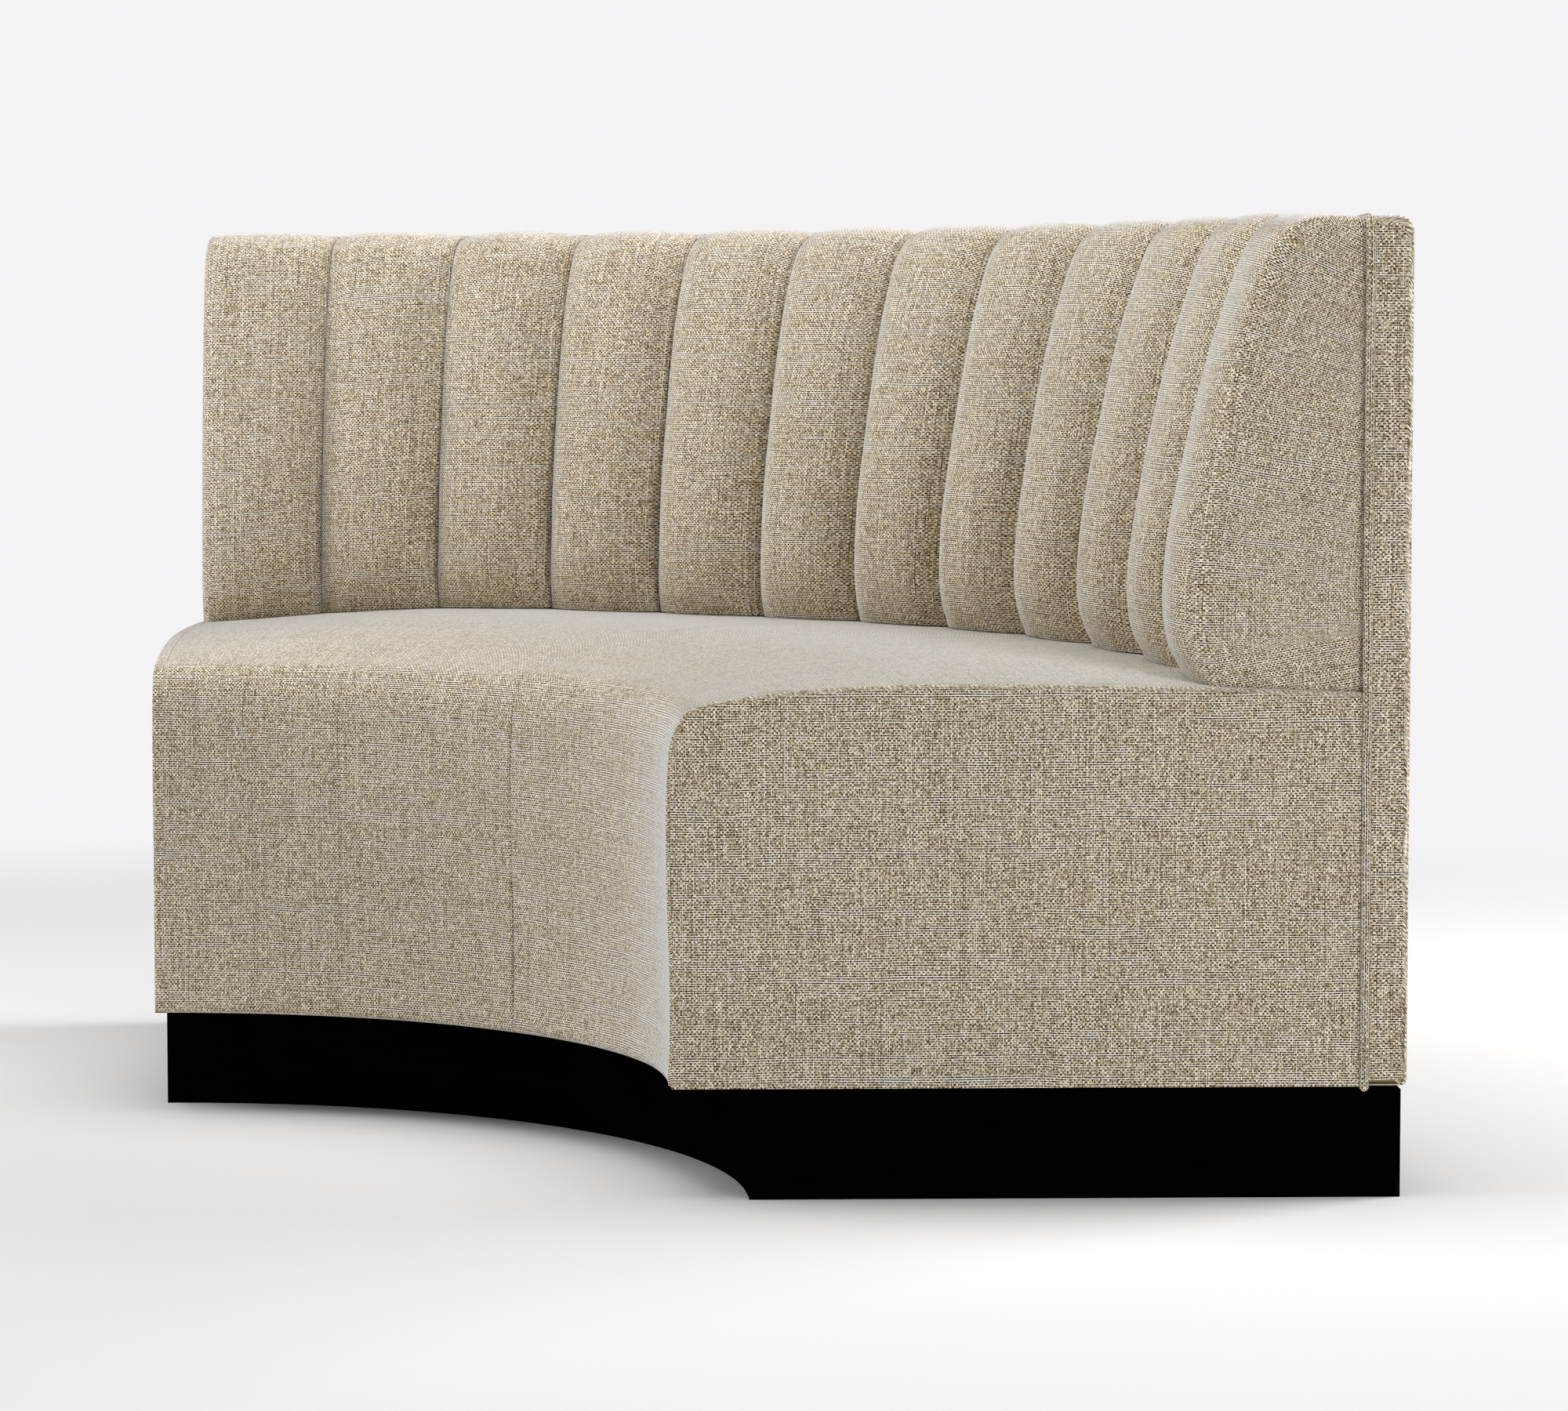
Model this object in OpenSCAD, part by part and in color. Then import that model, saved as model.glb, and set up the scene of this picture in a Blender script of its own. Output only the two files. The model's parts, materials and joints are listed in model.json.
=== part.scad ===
// Quarter-round banquette bench: a crowned seat, an upright channelled back and a recessed plinth.
// Every solid is built about the upright axis that the bench curves round, then the whole
// bench is moved so that the origin lies on the floor in the middle of its footprint.
// The seat faces -Y, so the right end is the +X one. Lengths are in millimetres.

/* [Overall] */
// Radius of the outer back
back_r = 1217; // [1150:1:1400]
// Depth from the seat's front to the outer back
depth = 690; // [660:1:740]
// Angle that the bench turns through
sweep_deg = 90; // [60:1:100]
// Height of the back above the floor, without its welt
total_h = 914.4; // [880:1:1000]

/* [Plinth] */
// Height of the plinth
plinth_h = 101.6; // [70:1:130]
// How far the plinth's front stands behind the seat's front
toe_recess = 75.5; // [40:1:110]
// How far the plinth stands inside the ends and the outer back
plinth_inset = 5.5; // [5:0.5:15]
// Thickness of the plinth's boards
plinth_t = 18; // [12:1:22]
// Side of a corner block
block_w = 40; // [30:1:50]
// Height of a corner block
block_h = 60; // [40:1:65]
// Depth of the housings that hold the plinth's ribs
housing_d = 4; // [2:0.5:6]

/* [Seat] */
// Height of the seat's front edge at its ends
seat_edge_h = 464; // [440:1:480]
// How much higher the seat is at the fullest point of its depth
seat_rise = 17.5; // [10:0.5:25]
// Thickness of foam and cover between the deck and the seat's front edge
edge_pad_t = 69; // [60:1:80]
// How much higher the seat is in the middle of its arc
seat_crown = 19; // [0:1:30]
// Depth of the roll at the seat's front edge
roll_d = 35; // [25:1:45]
// Height of that roll
roll_h = 58; // [40:1:62]
// Gap between the plinth and the lower edge of the upholstery
skirt_gap = 3.4; // [0:0.2:8]

/* [Back] */
// Number of channels round the back
channels = 12; // [8:1:14]
// Depth from the welt to the fullest point of the channels
back_pad_d = 158; // [145:1:175]
// How much higher the channels are than the outer back
channel_rise = 2.2; // [0:0.2:5]
// Depth from the welt to the inner board at the seat's deck
lean_low = 122; // [115:1:128]
// Depth from the welt to the inner board at its top
lean_high = 50; // [45:1:60]

/* [Upholstery] */
// Thickness of a cover with its fibre wrap
cover_t = 12; // [9:0.5:16]
// Depth of the outer back from the welt to its outside
outer_back_t = 38; // [34:1:45]
// Diameter of the welt
welt_d = 8.8; // [6:0.2:11]
// How far the welt stands out of the ends
welt_proud = 4.8; // [3:0.1:6]
// How far the welt stands above the outer back at its corners
welt_rise = 2.6; // [1:0.1:5]
// How much lower the welt lies between its corners
welt_sink = 2.2; // [0:0.1:3]
// Radius at which the seat's covers turn round the ends
seat_end_round = 5; // [4:0.5:8]
// Edge radius of the back's end covers
back_end_round = 11; // [6:0.5:12]
// Edge radius at the top of the outer back
outer_top_round = 15; // [8:1:18]
// Edge radius at the bottom of the upholstery
hem_round = 6; // [3:0.5:8]

/* [Frame] */
// Thickness of a rib
rib_t = 18; // [12:1:25]
// Number of ribs, with one at each end
rib_count = 5; // [4:1:7]
// Thickness of the deck
deck_t = 15; // [12:1:20]
// Thickness of the base panel
base_t = 15; // [12:1:20]
// Height of the cleat under the deck's rear edge
cleat_h = 50; // [35:1:70]
// Thickness of that cleat
cleat_t = 18; // [12:1:25]
// Thickness of the bent front board
front_board_t = 8; // [6:1:10]
// Thickness of the bent board behind the channels
inner_board_t = 6; // [4:1:9]
// Thickness of the top rail
top_rail_t = 18; // [15:1:25]
// Padding above the top rail
top_pad_t = 30; // [24:1:36]
// Padding above the outer board
outer_top_pad_t = 20; // [19:1:28]
// Thickness of a gusset
gusset_t = 12; // [9:1:15]
// Length of a gusset
gusset_w = 160; // [120:1:200]
// Height of a gusset
gusset_h = 130; // [90:1:160]

/* [Fasteners] */
// Diameter of a screw's shank
screw_d = 4.5; // [3.5:0.5:6]
// Diameter of a screw's head
screw_head_d = 9; // [8:0.5:11]
// Height of a screw's countersunk head
screw_head_h = 3; // [2:0.5:3.5]
// Length of the frame screws
screw_len = 45; // [38:1:50]
// Length of the gusset screws
short_screw_len = 28; // [24:1:29]

/* [Hidden] */
$fn = 96;

// Gap that keeps neighbouring pieces apart, and clearance round a screw
gap = 0.3;
screw_clear = 0.1;
// Overrun of a cut past the face that it leaves
overrun = 5;

// The back's channels from the seat up and over the top: each pair is how far forward of the
// welt a point lies, as a share of back_pad_d, and how high, as a share of the height above the seat
crest_shares = [[0.87, 0], [0.965, 0.055], [1, 0.16], [0.965, 0.32], [0.885, 0.5],
    [0.75, 0.72], [0.6, 0.885], [0.45, 0.975], [0.28, 1], [0.03, 0.995]];
valley_shares = [[0.85, 0], [0.862, 0.05], [0.855, 0.16], [0.83, 0.32], [0.765, 0.5],
    [0.66, 0.72], [0.54, 0.87], [0.41, 0.955], [0.26, 0.984], [0.03, 0.985]];
// Where the sections of a channel lie across its width
channel_shares = [0, 0.07, 0.2, 0.35, 0.5, 0.65, 0.8, 0.93, 1];
channel_power_share = 2.6;
// How full the outermost channel still is where it meets the end cover
end_full_share = 0.9;

// The seat's crown from its front edge to the welt, as a share of seat_rise
crown_shares = [[0, 0], [0.09, 0.5], [0.25, 0.93], [0.43, 1], [0.77, 0.8], [1, 0.5]];
// Where the sections of the seat lie across its depth
depth_shares = [0.09, 0.25, 0.45, 0.72, 1];
roll_step_deg = 22.5;
// How the middle of the seat rises: along the arc, and at its front edge
crown_power_share = 2.4;
edge_lift_share = 0.3;
full_lift_share = 0.4;

// Where the screws lie along a rib, and the gusset's screws in its length and height
rib_screw_shares = [0.12, 0.5, 0.84];
gusset_x_shares = [0.2, 0.8];
gusset_z_shares = [0.25, 0.75];
rail_screw_share = 0.5;
// How far a corner block's screw reaches into the base panel
block_screw_share = 0.7;

// How many flats a soft form has along the arc
foam_runs = 16;
cover_runs = 8;
outer_runs = 24;
welt_runs = 20;
// Depths from an end's face at which its rounded edge is drawn, as shares of its radius
round_shares = [0, 0.12, 0.45, 1];
// The welt's bend at a corner, as a share of its diameter, and its thickness near its tip
welt_bend_share = 1.5;
tip_shares = [0.55, 0.92];
// Steps in which the outer back's lining closes over the top of its board
lining_steps = 4;

mid_deg = 90;
half_deg = sweep_deg / 2;
right_deg = mid_deg - half_deg;
left_deg = mid_deg + half_deg;
front_r = back_r - depth;
floor_shift = (back_r + front_r * cos(half_deg)) / 2;

outer_back_r = back_r - outer_back_t;
welt_r = outer_back_r - welt_d / 2;
pad_rear_r = welt_r - welt_d / 2 - gap;
skirt_z = plinth_h + skirt_gap;

end_d = cover_t + gap;
turned_e = seat_end_round + 2 * gap;
seam_round = hem_round / 3;
front_board_r = front_r + cover_t + gap;
frame_front_r = front_board_r + front_board_t + gap;
outer_board_r = outer_back_r + gap;
base_rear_r = back_r - cover_t - gap;
frame_rear_r = outer_back_r;
rib_rear_x = sqrt(pow(frame_rear_r, 2) - pow(end_d + rib_t, 2));

base_top = plinth_h + base_t;
// The deck lies under the foam, and the roll at the seat's edge ends above the deck
deck_h = seat_edge_h - edge_pad_t;
roll_drop = min(roll_h, edge_pad_t - 2 * gap);
deck_bottom = deck_h - deck_t;
rail_top = total_h - top_pad_t;
rail_bottom = rail_top - top_rail_t;
outer_board_top = total_h - outer_top_pad_t;

rib_joint_x = welt_r - lean_low + inner_board_t + gap;
cleat_r = rib_joint_x - gap - cleat_t;
seat_len = welt_r - front_r;
seat_reach = welt_r - lean_low - gap - front_r;

kick_r = front_r + toe_recess;
kick_inner_r = kick_r + plinth_t;
rear_kick_r = back_r - plinth_inset;
rear_kick_inner_r = rear_kick_r - plinth_t;
plinth_end_d = plinth_inset + plinth_t;
plinth_screw_len = block_h + base_t * block_screw_share;

// A span runs between two upright planes. Its four values are the angle of the first radius, how far
// inside that radius the plane lies, the angle of the second radius, and how far inside that one.
function span_angle(r, v, span) =
    let (start = span[0] + asin(span[1] / r), stop = span[2] - asin(span[3] / r))
    start + v * (stop - start);

// A point of radius p[0] and height p[1], at share v of a span
function on_span(p, v, span) =
    let (a = span_angle(p[0], v, span))
    [p[0] * cos(a), p[0] * sin(a), p[1]];

function mix(a, b, share) = a + (b - a) * share;
function reversed(list) = [for (i = [len(list) - 1:-1:0]) list[i]];

// How far a rounded edge of radius r has drawn in at depth d below its end face
function draw_in(r, d) = d >= r ? 0 : r - sqrt(r * r - pow(r - d, 2));

// A closed skin over rings with equal numbers of points. Each ring is a front path and then
// a rear path back to its start, and the two end rings are closed across those paths.
module loft(rings) {
    n = len(rings[0]);
    last = (len(rings) - 1) * n;
    walls = [for (j = [0:len(rings) - 2], i = [0:n - 1])
        let (a = j * n + i, b = j * n + (i + 1) % n)
        each [[a, a + n, b + n], [a, b + n, b]]];
    caps = [for (i = [0:n / 2 - 2])
        let (j = n - 1 - i)
        each [[i, i + 1, j - 1], [i, j - 1, j], [last + i, last + j, last + j - 1],
            [last + i, last + j - 1, last + i + 1]]];
    polyhedron([for (ring = rings) each ring], concat(walls, caps));
}

function ring(front, rear, v, span) = [for (p = concat(front, reversed(rear))) on_span(p, v, span)];

// The seat's outer form, on which its foam, covers and end covers are drawn
function arc_share(a) = abs(a - mid_deg) / half_deg;
function crown_at(a) = seat_crown * (1 - pow(min(1, arc_share(a)), crown_power_share));
function edge_at(a) = seat_edge_h + edge_lift_share * crown_at(a);
function seat_top(x, a) =
    let (t = (x - roll_d) / (seat_len - roll_d))
    edge_at(a) + seat_rise * lookup(t, crown_shares)
        + (1 - edge_lift_share) * crown_at(a) * sin(90 * min(1, t / full_lift_share));

// The path up the roll and over the crown, drawn in by e, to a depth of reach
function seat_path(a, e, reach) = concat(
    [[front_r + e, edge_at(a) - roll_drop]],
    [for (phi = [roll_step_deg:roll_step_deg:90])
        [front_r + roll_d - (roll_d - e) * cos(phi), edge_at(a) - roll_drop + (roll_drop - e) * sin(phi)]],
    [for (t = depth_shares)
        let (x = mix(roll_d, reach, t))
        [front_r + x, seat_top(x, a) - e]]);

// Where the seat lies under the channels
function seam_z(a) = seat_top(seat_len - crest_shares[0][0] * back_pad_d, a) + 2 * gap;

// The front of the inner board at a height
function board_r(z) = welt_r - mix(lean_low, lean_high, (z - deck_h) / (rail_top - deck_h));

// A channel's path from the seat to the welt, full by the share w and drawn in by e
function channel_path(a, w, e) = [for (i = [0:len(crest_shares) - 1])
    let (s = mix(valley_shares[i], crest_shares[i], w), z = seam_z(a), top = i > len(crest_shares) / 2)
    [min(pad_rear_r, welt_r - s[0] * back_pad_d + e * min(1, 2 * s[0])),
        z + s[1] * (total_h + channel_rise - z) - e * pow(s[1], 4)]];

// The hidden rear of a channel: up the inner board and over the top rail
function channel_rear(a) =
    let (n = len(crest_shares), up = n - 4, z = seam_z(a), top_r = board_r(rail_top) - gap)
    concat(
        [for (i = [0:up]) let (h = mix(z, rail_top + gap, i / up)) [board_r(h) - gap, h]],
        [for (i = [1:n - 1 - up]) [mix(top_r, pad_rear_r, i / (n - 1 - up)), rail_top + gap]]);

// Keeps what lies between the two ends, drawn in by d
module between_ends(d) {
    far = 2 * back_r;
    tip = d / sin(half_deg);
    polygon([[0, tip], [far * cos(right_deg), tip + far * sin(right_deg)],
        [far * cos(left_deg), tip + far * sin(left_deg)]]);
}

// An upright curved board or a curved panel
module arc_plate(inner_r, outer_r, bottom, top, d) {
    translate([0, 0, bottom])
        linear_extrude(top - bottom)
            intersection() {
                difference() {
                    circle(outer_r);
                    circle(inner_r);
                }
                between_ends(d);
            }
}

// The frame of a rib: X runs along its radius, Y across its thickness
function rib_deg(i) = right_deg + i * sweep_deg / (rib_count - 1);
function rib_side(i) = i == rib_count - 1 ? -1 : 1;
function rib_y(i) = (i > 0 && i < rib_count - 1) ? 0 : rib_side(i) * (end_d + rib_t / 2);
module in_rib(i) {
    rotate([0, 0, rib_deg(i)])
        translate([0, rib_y(i), 0])
            children();
}
module rib_plate() {
    rotate([90, 0, 0])
        linear_extrude(rib_t, center = true)
            children();
}

// A countersunk screw that points down from its head, or its hole with a clearance
module screw(len, clear = 0) {
    rotate_extrude($fn = 32)
        polygon([[0, clear], [screw_head_d / 2 + clear, clear], [screw_head_d / 2 + clear, 0],
            [screw_d / 2 + clear, -screw_head_h], [screw_d / 2 + clear, -len + screw_head_h],
            [0, -len - clear]]);
}

// Places of the frame's screws. Each puts a screw, or its hole, at every place on rib i.
function rib_screw_x(share) = mix(frame_front_r, cleat_r, share);
module at_deck_screws(i) {
    in_rib(i)
        for (share = rib_screw_shares)
            translate([rib_screw_x(share), 0, deck_h])
                children();
}
module at_base_screws(i) {
    in_rib(i)
        for (x = concat([for (share = rib_screw_shares) rib_screw_x(share)],
                [mix(rib_joint_x, rib_rear_x, 0.5)]))
            translate([x, 0, plinth_h])
                rotate([180, 0, 0])
                    children();
}
module at_rail_screws(i) {
    in_rib(i)
        translate([mix(board_r(rail_top) + inner_board_t, rib_rear_x, rail_screw_share), 0, rail_top])
            children();
}
module in_gusset(i) {
    in_rib(i)
        translate([rib_joint_x - gusset_w / 2, rib_side(i) * (rib_t + gusset_t) / 2,
            mix(base_top, deck_bottom - cleat_h, 0.5) - gusset_h / 2])
            children();
}
module at_gusset_screws(i) {
    in_gusset(i)
        for (sx = gusset_x_shares, sz = gusset_z_shares)
            translate([sx * gusset_w, rib_side(i) * gusset_t / 2, sz * gusset_h])
                rotate([-90 * rib_side(i), 0, 0])
                    children();
}

// The plinth
module plinth_kick(inner_r, outer_r) {
    color("#161616")
        difference() {
            arc_plate(inner_r, outer_r, 0, plinth_h, plinth_end_d + gap);
            for (i = [1:rib_count - 2])
                rotate([0, 0, rib_deg(i)])
                    translate([kick_inner_r - housing_d - gap, -plinth_t / 2 - gap, -overrun])
                        cube([rear_kick_inner_r - kick_inner_r + 2 * (housing_d + gap),
                            plinth_t + 2 * gap, plinth_h + 2 * overrun]);
        }
}
module plinth_front_kick() {
    plinth_kick(kick_r, kick_inner_r);
}
module plinth_rear_kick() {
    plinth_kick(rear_kick_inner_r, rear_kick_r);
}
module plinth_end(side) {
    color("#161616")
        rotate([0, 0, side > 0 ? right_deg : left_deg])
            translate([kick_r, side > 0 ? plinth_inset : -plinth_inset - plinth_t, 0])
                cube([rear_kick_r - kick_r, plinth_t, plinth_h]);
}
module plinth_rib(i) {
    color("#2a2622")
        rotate([0, 0, rib_deg(i)])
            translate([kick_inner_r - housing_d, -plinth_t / 2, 0])
                cube([rear_kick_inner_r - kick_inner_r + 2 * housing_d, plinth_t, plinth_h]);
}

// The corner blocks stand beside the plinth's ends and ribs, against both kicks
function block_y(i) = (i > 0 && i < rib_count - 1 ? plinth_t / 2 : plinth_end_d) + gap;
module at_blocks(i) {
    near = block_y(i);
    rear_x = sqrt(pow(rear_kick_inner_r - gap, 2) - pow(near + block_w, 2)) - block_w / 2;
    rotate([0, 0, rib_deg(i)])
        for (x = [kick_inner_r + gap + block_w / 2, rear_x])
            translate([x, rib_side(i) * (near + block_w / 2), plinth_h - block_h])
                children();
}
module plinth_blocks() {
    color("#c9a877")
        for (i = [0:rib_count - 1])
            at_blocks(i)
                difference() {
                    translate([-block_w / 2, -block_w / 2, 0])
                        cube([block_w, block_w, block_h]);
                    rotate([180, 0, 0])
                        screw(plinth_screw_len, screw_clear);
                }
}
module plinth_screws() {
    color("#8d8f92")
        for (i = [0:rib_count - 1])
            at_blocks(i)
                rotate([180, 0, 0])
                    screw(plinth_screw_len);
}

// The seat's frame
module base_panel() {
    color("#161616")
        difference() {
            arc_plate(frame_front_r, base_rear_r, plinth_h, base_top, end_d);
            for (i = [0:rib_count - 1]) {
                at_base_screws(i)
                    screw(screw_len, screw_clear);
                at_blocks(i)
                    rotate([180, 0, 0])
                        screw(plinth_screw_len, screw_clear);
            }
        }
}
module seat_rib(i) {
    color("#c79e68")
        difference() {
            in_rib(i)
                rib_plate()
                    polygon([[frame_front_r, base_top], [rib_joint_x, base_top],
                        [rib_joint_x, deck_bottom - cleat_h - gap],
                        [cleat_r - 2 * gap, deck_bottom - cleat_h - gap],
                        [cleat_r - 2 * gap, deck_bottom], [frame_front_r, deck_bottom]]);
            at_deck_screws(i)
                screw(screw_len, screw_clear);
            at_base_screws(i)
                screw(screw_len, screw_clear);
            at_gusset_screws(i)
                screw(short_screw_len, screw_clear);
        }
}
module back_rib(i) {
    low = board_r(deck_h) + inner_board_t + gap;
    high = board_r(rail_bottom) + inner_board_t + gap;
    color("#c79e68")
        difference() {
            in_rib(i)
                rib_plate()
                    polygon([[rib_joint_x, base_top], [rib_rear_x, base_top],
                        [rib_rear_x, rail_bottom], [high, rail_bottom], [low, deck_h]]);
            at_base_screws(i)
                screw(screw_len, screw_clear);
            at_rail_screws(i)
                screw(screw_len, screw_clear);
            at_gusset_screws(i)
                screw(short_screw_len, screw_clear);
        }
}
module rib_gussets() {
    color("#b98f5c")
        for (i = [0:rib_count - 1])
            difference() {
                in_gusset(i)
                    translate([0, -gusset_t / 2, 0])
                        cube([gusset_w, gusset_t, gusset_h]);
                at_gusset_screws(i)
                    screw(short_screw_len, screw_clear);
            }
}
module gusset_screws() {
    color("#8d8f92")
        for (i = [0:rib_count - 1])
            at_gusset_screws(i)
                screw(short_screw_len);
}
module base_screws() {
    color("#8d8f92")
        for (i = [0:rib_count - 1])
            at_base_screws(i)
                screw(screw_len);
}
module deck_cleat() {
    color("#c79e68")
        arc_plate(cleat_r, cleat_r + cleat_t, deck_bottom - cleat_h, deck_bottom, end_d);
}
module seat_deck() {
    color("#b98f5c")
        difference() {
            arc_plate(frame_front_r, cleat_r + cleat_t, deck_bottom, deck_h, end_d);
            for (i = [0:rib_count - 1])
                at_deck_screws(i)
                    screw(screw_len, screw_clear);
        }
}
module deck_screws() {
    color("#8d8f92")
        for (i = [0:rib_count - 1])
            at_deck_screws(i)
                screw(screw_len);
}
module seat_front_board() {
    color("#b98f5c")
        arc_plate(front_board_r, front_board_r + front_board_t, plinth_h, deck_h, end_d);
}

// The seat's upholstery
module seat_foam() {
    span = [right_deg, end_d, left_deg, end_d];
    e = cover_t + gap;
    color("#e9dfb4")
        loft([for (v = [0:1 / foam_runs:1])
            let (a = mix(right_deg, left_deg, v), top = seat_path(a, e, seat_reach))
            ring(top, [for (p = top) [p[0], deck_h + gap]], v, span)]);
}

// A cover runs up the front from its hem, over the roll and back to the channels. It turns round
// the end onto the end's face, where it meets the end cover. The left cover mirrors the right one.
function cover_hem(e, foot) = [[front_r + foot, skirt_z], [front_r + e, skirt_z + hem_round]];
module seat_cover_right() {
    reach = pad_rear_r - front_r;
    span = [right_deg, end_d, mid_deg, gap / 2];
    turn = [for (d = concat(seat_end_round * round_shares, cover_t))
        let (e = draw_in(seat_end_round, d))
        ring(concat(cover_hem(e, e + hem_round), seat_path(right_deg, e, reach)),
            concat(cover_hem(turned_e, turned_e + hem_round), seat_path(right_deg, turned_e, reach)),
            0, [right_deg, d, mid_deg, 0])];
    run = [for (v = [0:1 / cover_runs:1])
        let (a = mix(right_deg, mid_deg, v))
        ring(concat(cover_hem(0, hem_round), seat_path(a, 0, seat_reach)),
            concat(cover_hem(cover_t, cover_t), seat_path(a, cover_t, seat_reach)), v, span)];
    color("#b3a68f")
        loft(concat(turn, run));
}
module seat_cover_left() {
    mirror([1, 0, 0])
        seat_cover_right();
}

// An end cover is a flat pad in the end's own plane, with its edges drawn in towards its face.
// It is drawn at the right end, and the left one is its mirror image.
function end_point(p, d) = [sqrt(p[0] * p[0] - d * d), d, p[1]];
module end_pad(rings) {
    rotate([0, 0, right_deg])
        loft(rings);
}
module seat_end_cover_right() {
    color("#b3a68f")
        end_pad([for (d = concat(hem_round * round_shares, cover_t))
            let (e = draw_in(hem_round, d), s = turned_e + gap + draw_in(seam_round, d),
                top = concat([[front_r + s, skirt_z + hem_round + e]],
                    seat_path(right_deg, s, pad_rear_r - front_r)),
                n = len(top), low = n - len(depth_shares) - 1)
            [for (p = concat(top, reversed([for (i = [0:n - 1])
                    [i < low ? mix(front_r + s + hem_round, top[low][0], i / low) : top[i][0],
                        skirt_z + e]])))
                end_point(p, d)]]);
}
module seat_end_cover_left() {
    mirror([1, 0, 0])
        seat_end_cover_right();
}
module back_end_cover_right() {
    top_z = seat_top(seat_len, right_deg) + 2 * gap;
    color("#b3a68f")
        end_pad([for (d = concat(back_end_round * round_shares, cover_t))
            let (e = draw_in(back_end_round, d), front = channel_path(right_deg, end_full_share, e),
                n = len(front), high = front[n - 1][1] - hem_round)
            [for (p = concat(front, reversed([for (i = [0:n - 1])
                    [pad_rear_r + gap / 2, mix(top_z, high, i / (n - 1))]])))
                end_point(p, d)]]);
}
module back_end_cover_left() {
    mirror([1, 0, 0])
        back_end_cover_right();
}

// The back's frame and boards
module back_top_rail() {
    color("#c79e68")
        difference() {
            arc_plate(board_r(rail_top) + inner_board_t + gap, frame_rear_r, rail_bottom, rail_top, end_d);
            for (i = [0:rib_count - 1])
                at_rail_screws(i)
                    screw(screw_len, screw_clear);
        }
}
module rail_screws() {
    color("#8d8f92")
        for (i = [0:rib_count - 1])
            at_rail_screws(i)
                screw(screw_len);
}
module back_inner_board() {
    color("#b98f5c")
        intersection() {
            rotate_extrude($fn = 180)
                polygon([[board_r(deck_h), deck_h + gap], [board_r(deck_h) + inner_board_t, deck_h + gap],
                    [board_r(rail_top) + inner_board_t, rail_top], [board_r(rail_top), rail_top]]);
            linear_extrude(total_h)
                between_ends(end_d);
        }
}
module back_outer_board() {
    color("#b98f5c")
        arc_plate(outer_board_r, base_rear_r, base_top, outer_board_top, end_d);
}

// A channel is full along its middle and drawn in to the seams. The outermost ones stay
// nearly full where they meet an end cover.
function fullness(i, v) =
    let (u = 2 * v - 1, at_end = (i == 1 && u < 0) || (i == channels && u > 0))
    1 - (at_end ? 1 - end_full_share : 1) * pow(abs(u), channel_power_share);
module back_channel(i) {
    step = sweep_deg / channels;
    from = right_deg + (i - 1) * step;
    span = [from, i == 1 ? end_d : gap / 2, from + step, i == channels ? end_d : gap / 2];
    color("#b3a68f")
        loft([for (v = channel_shares)
            let (a = from + v * step)
            ring(channel_path(a, fullness(i, v), 0), channel_rear(a), v, span)]);
}

// The outer back's padded cover wraps its board on the outside, over the top and round both ends.
// Its flats touch the radius of the lining at their middles, so that they clear the board.
lining_r = (back_r - cover_t) / cos(sweep_deg / outer_runs / 2);
function outer_path(e) =
    let (out = back_r - e, low = skirt_z + e, top = total_h - e, bend = outer_top_round)
    [[out - hem_round, low], [out, low + hem_round], [out, top - bend],
        [out - bend * (1 - cos(45)), top - bend * (1 - sin(45))], [out - bend, top],
        [outer_back_r + hem_round, top],
        [outer_back_r + hem_round * (1 - cos(45)), top - hem_round * (1 - sin(45))],
        [outer_back_r, top - hem_round]];
function outer_lining(e, at_end) =
    let (in = outer_back_r, wall = at_end ? in : lining_r, low = skirt_z + e,
        top = outer_board_top + gap, high = total_h - e - 2 * hem_round)
    concat([[at_end ? in : wall, low + (at_end ? hem_round : 0)], [wall, low + 2 * hem_round],
            [wall, top - 2 * hem_round], [wall, top - (at_end ? hem_round : 0)]],
        [for (i = [1:lining_steps])
            let (t = i / lining_steps)
            [mix(wall, in, t), at_end ? mix(top - hem_round, high, t) : top]]);
module outer_back_pad() {
    span = [right_deg, 0, left_deg, 0];
    arc_len = back_r * sweep_deg * PI / 180;
    // Distances from an end at which its rounded, solid return is drawn, then the hollow run
    returns = hem_round * round_shares;
    wrap = [cover_t - gap, cover_t];
    near = concat(returns, wrap);
    run = [for (i = [1:outer_runs - 1]) i / outer_runs];
    stations = concat([for (d = near) [d / arc_len, d < cover_t]], [for (v = run) [v, false]],
        reversed([for (d = near) [1 - d / arc_len, d < cover_t]]));
    color("#b3a68f")
        loft([for (s = stations)
            let (e = draw_in(hem_round, min(s[0], 1 - s[0]) * arc_len))
            ring(outer_path(e), outer_lining(e, s[1]), s[0], span)]);
}

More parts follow.
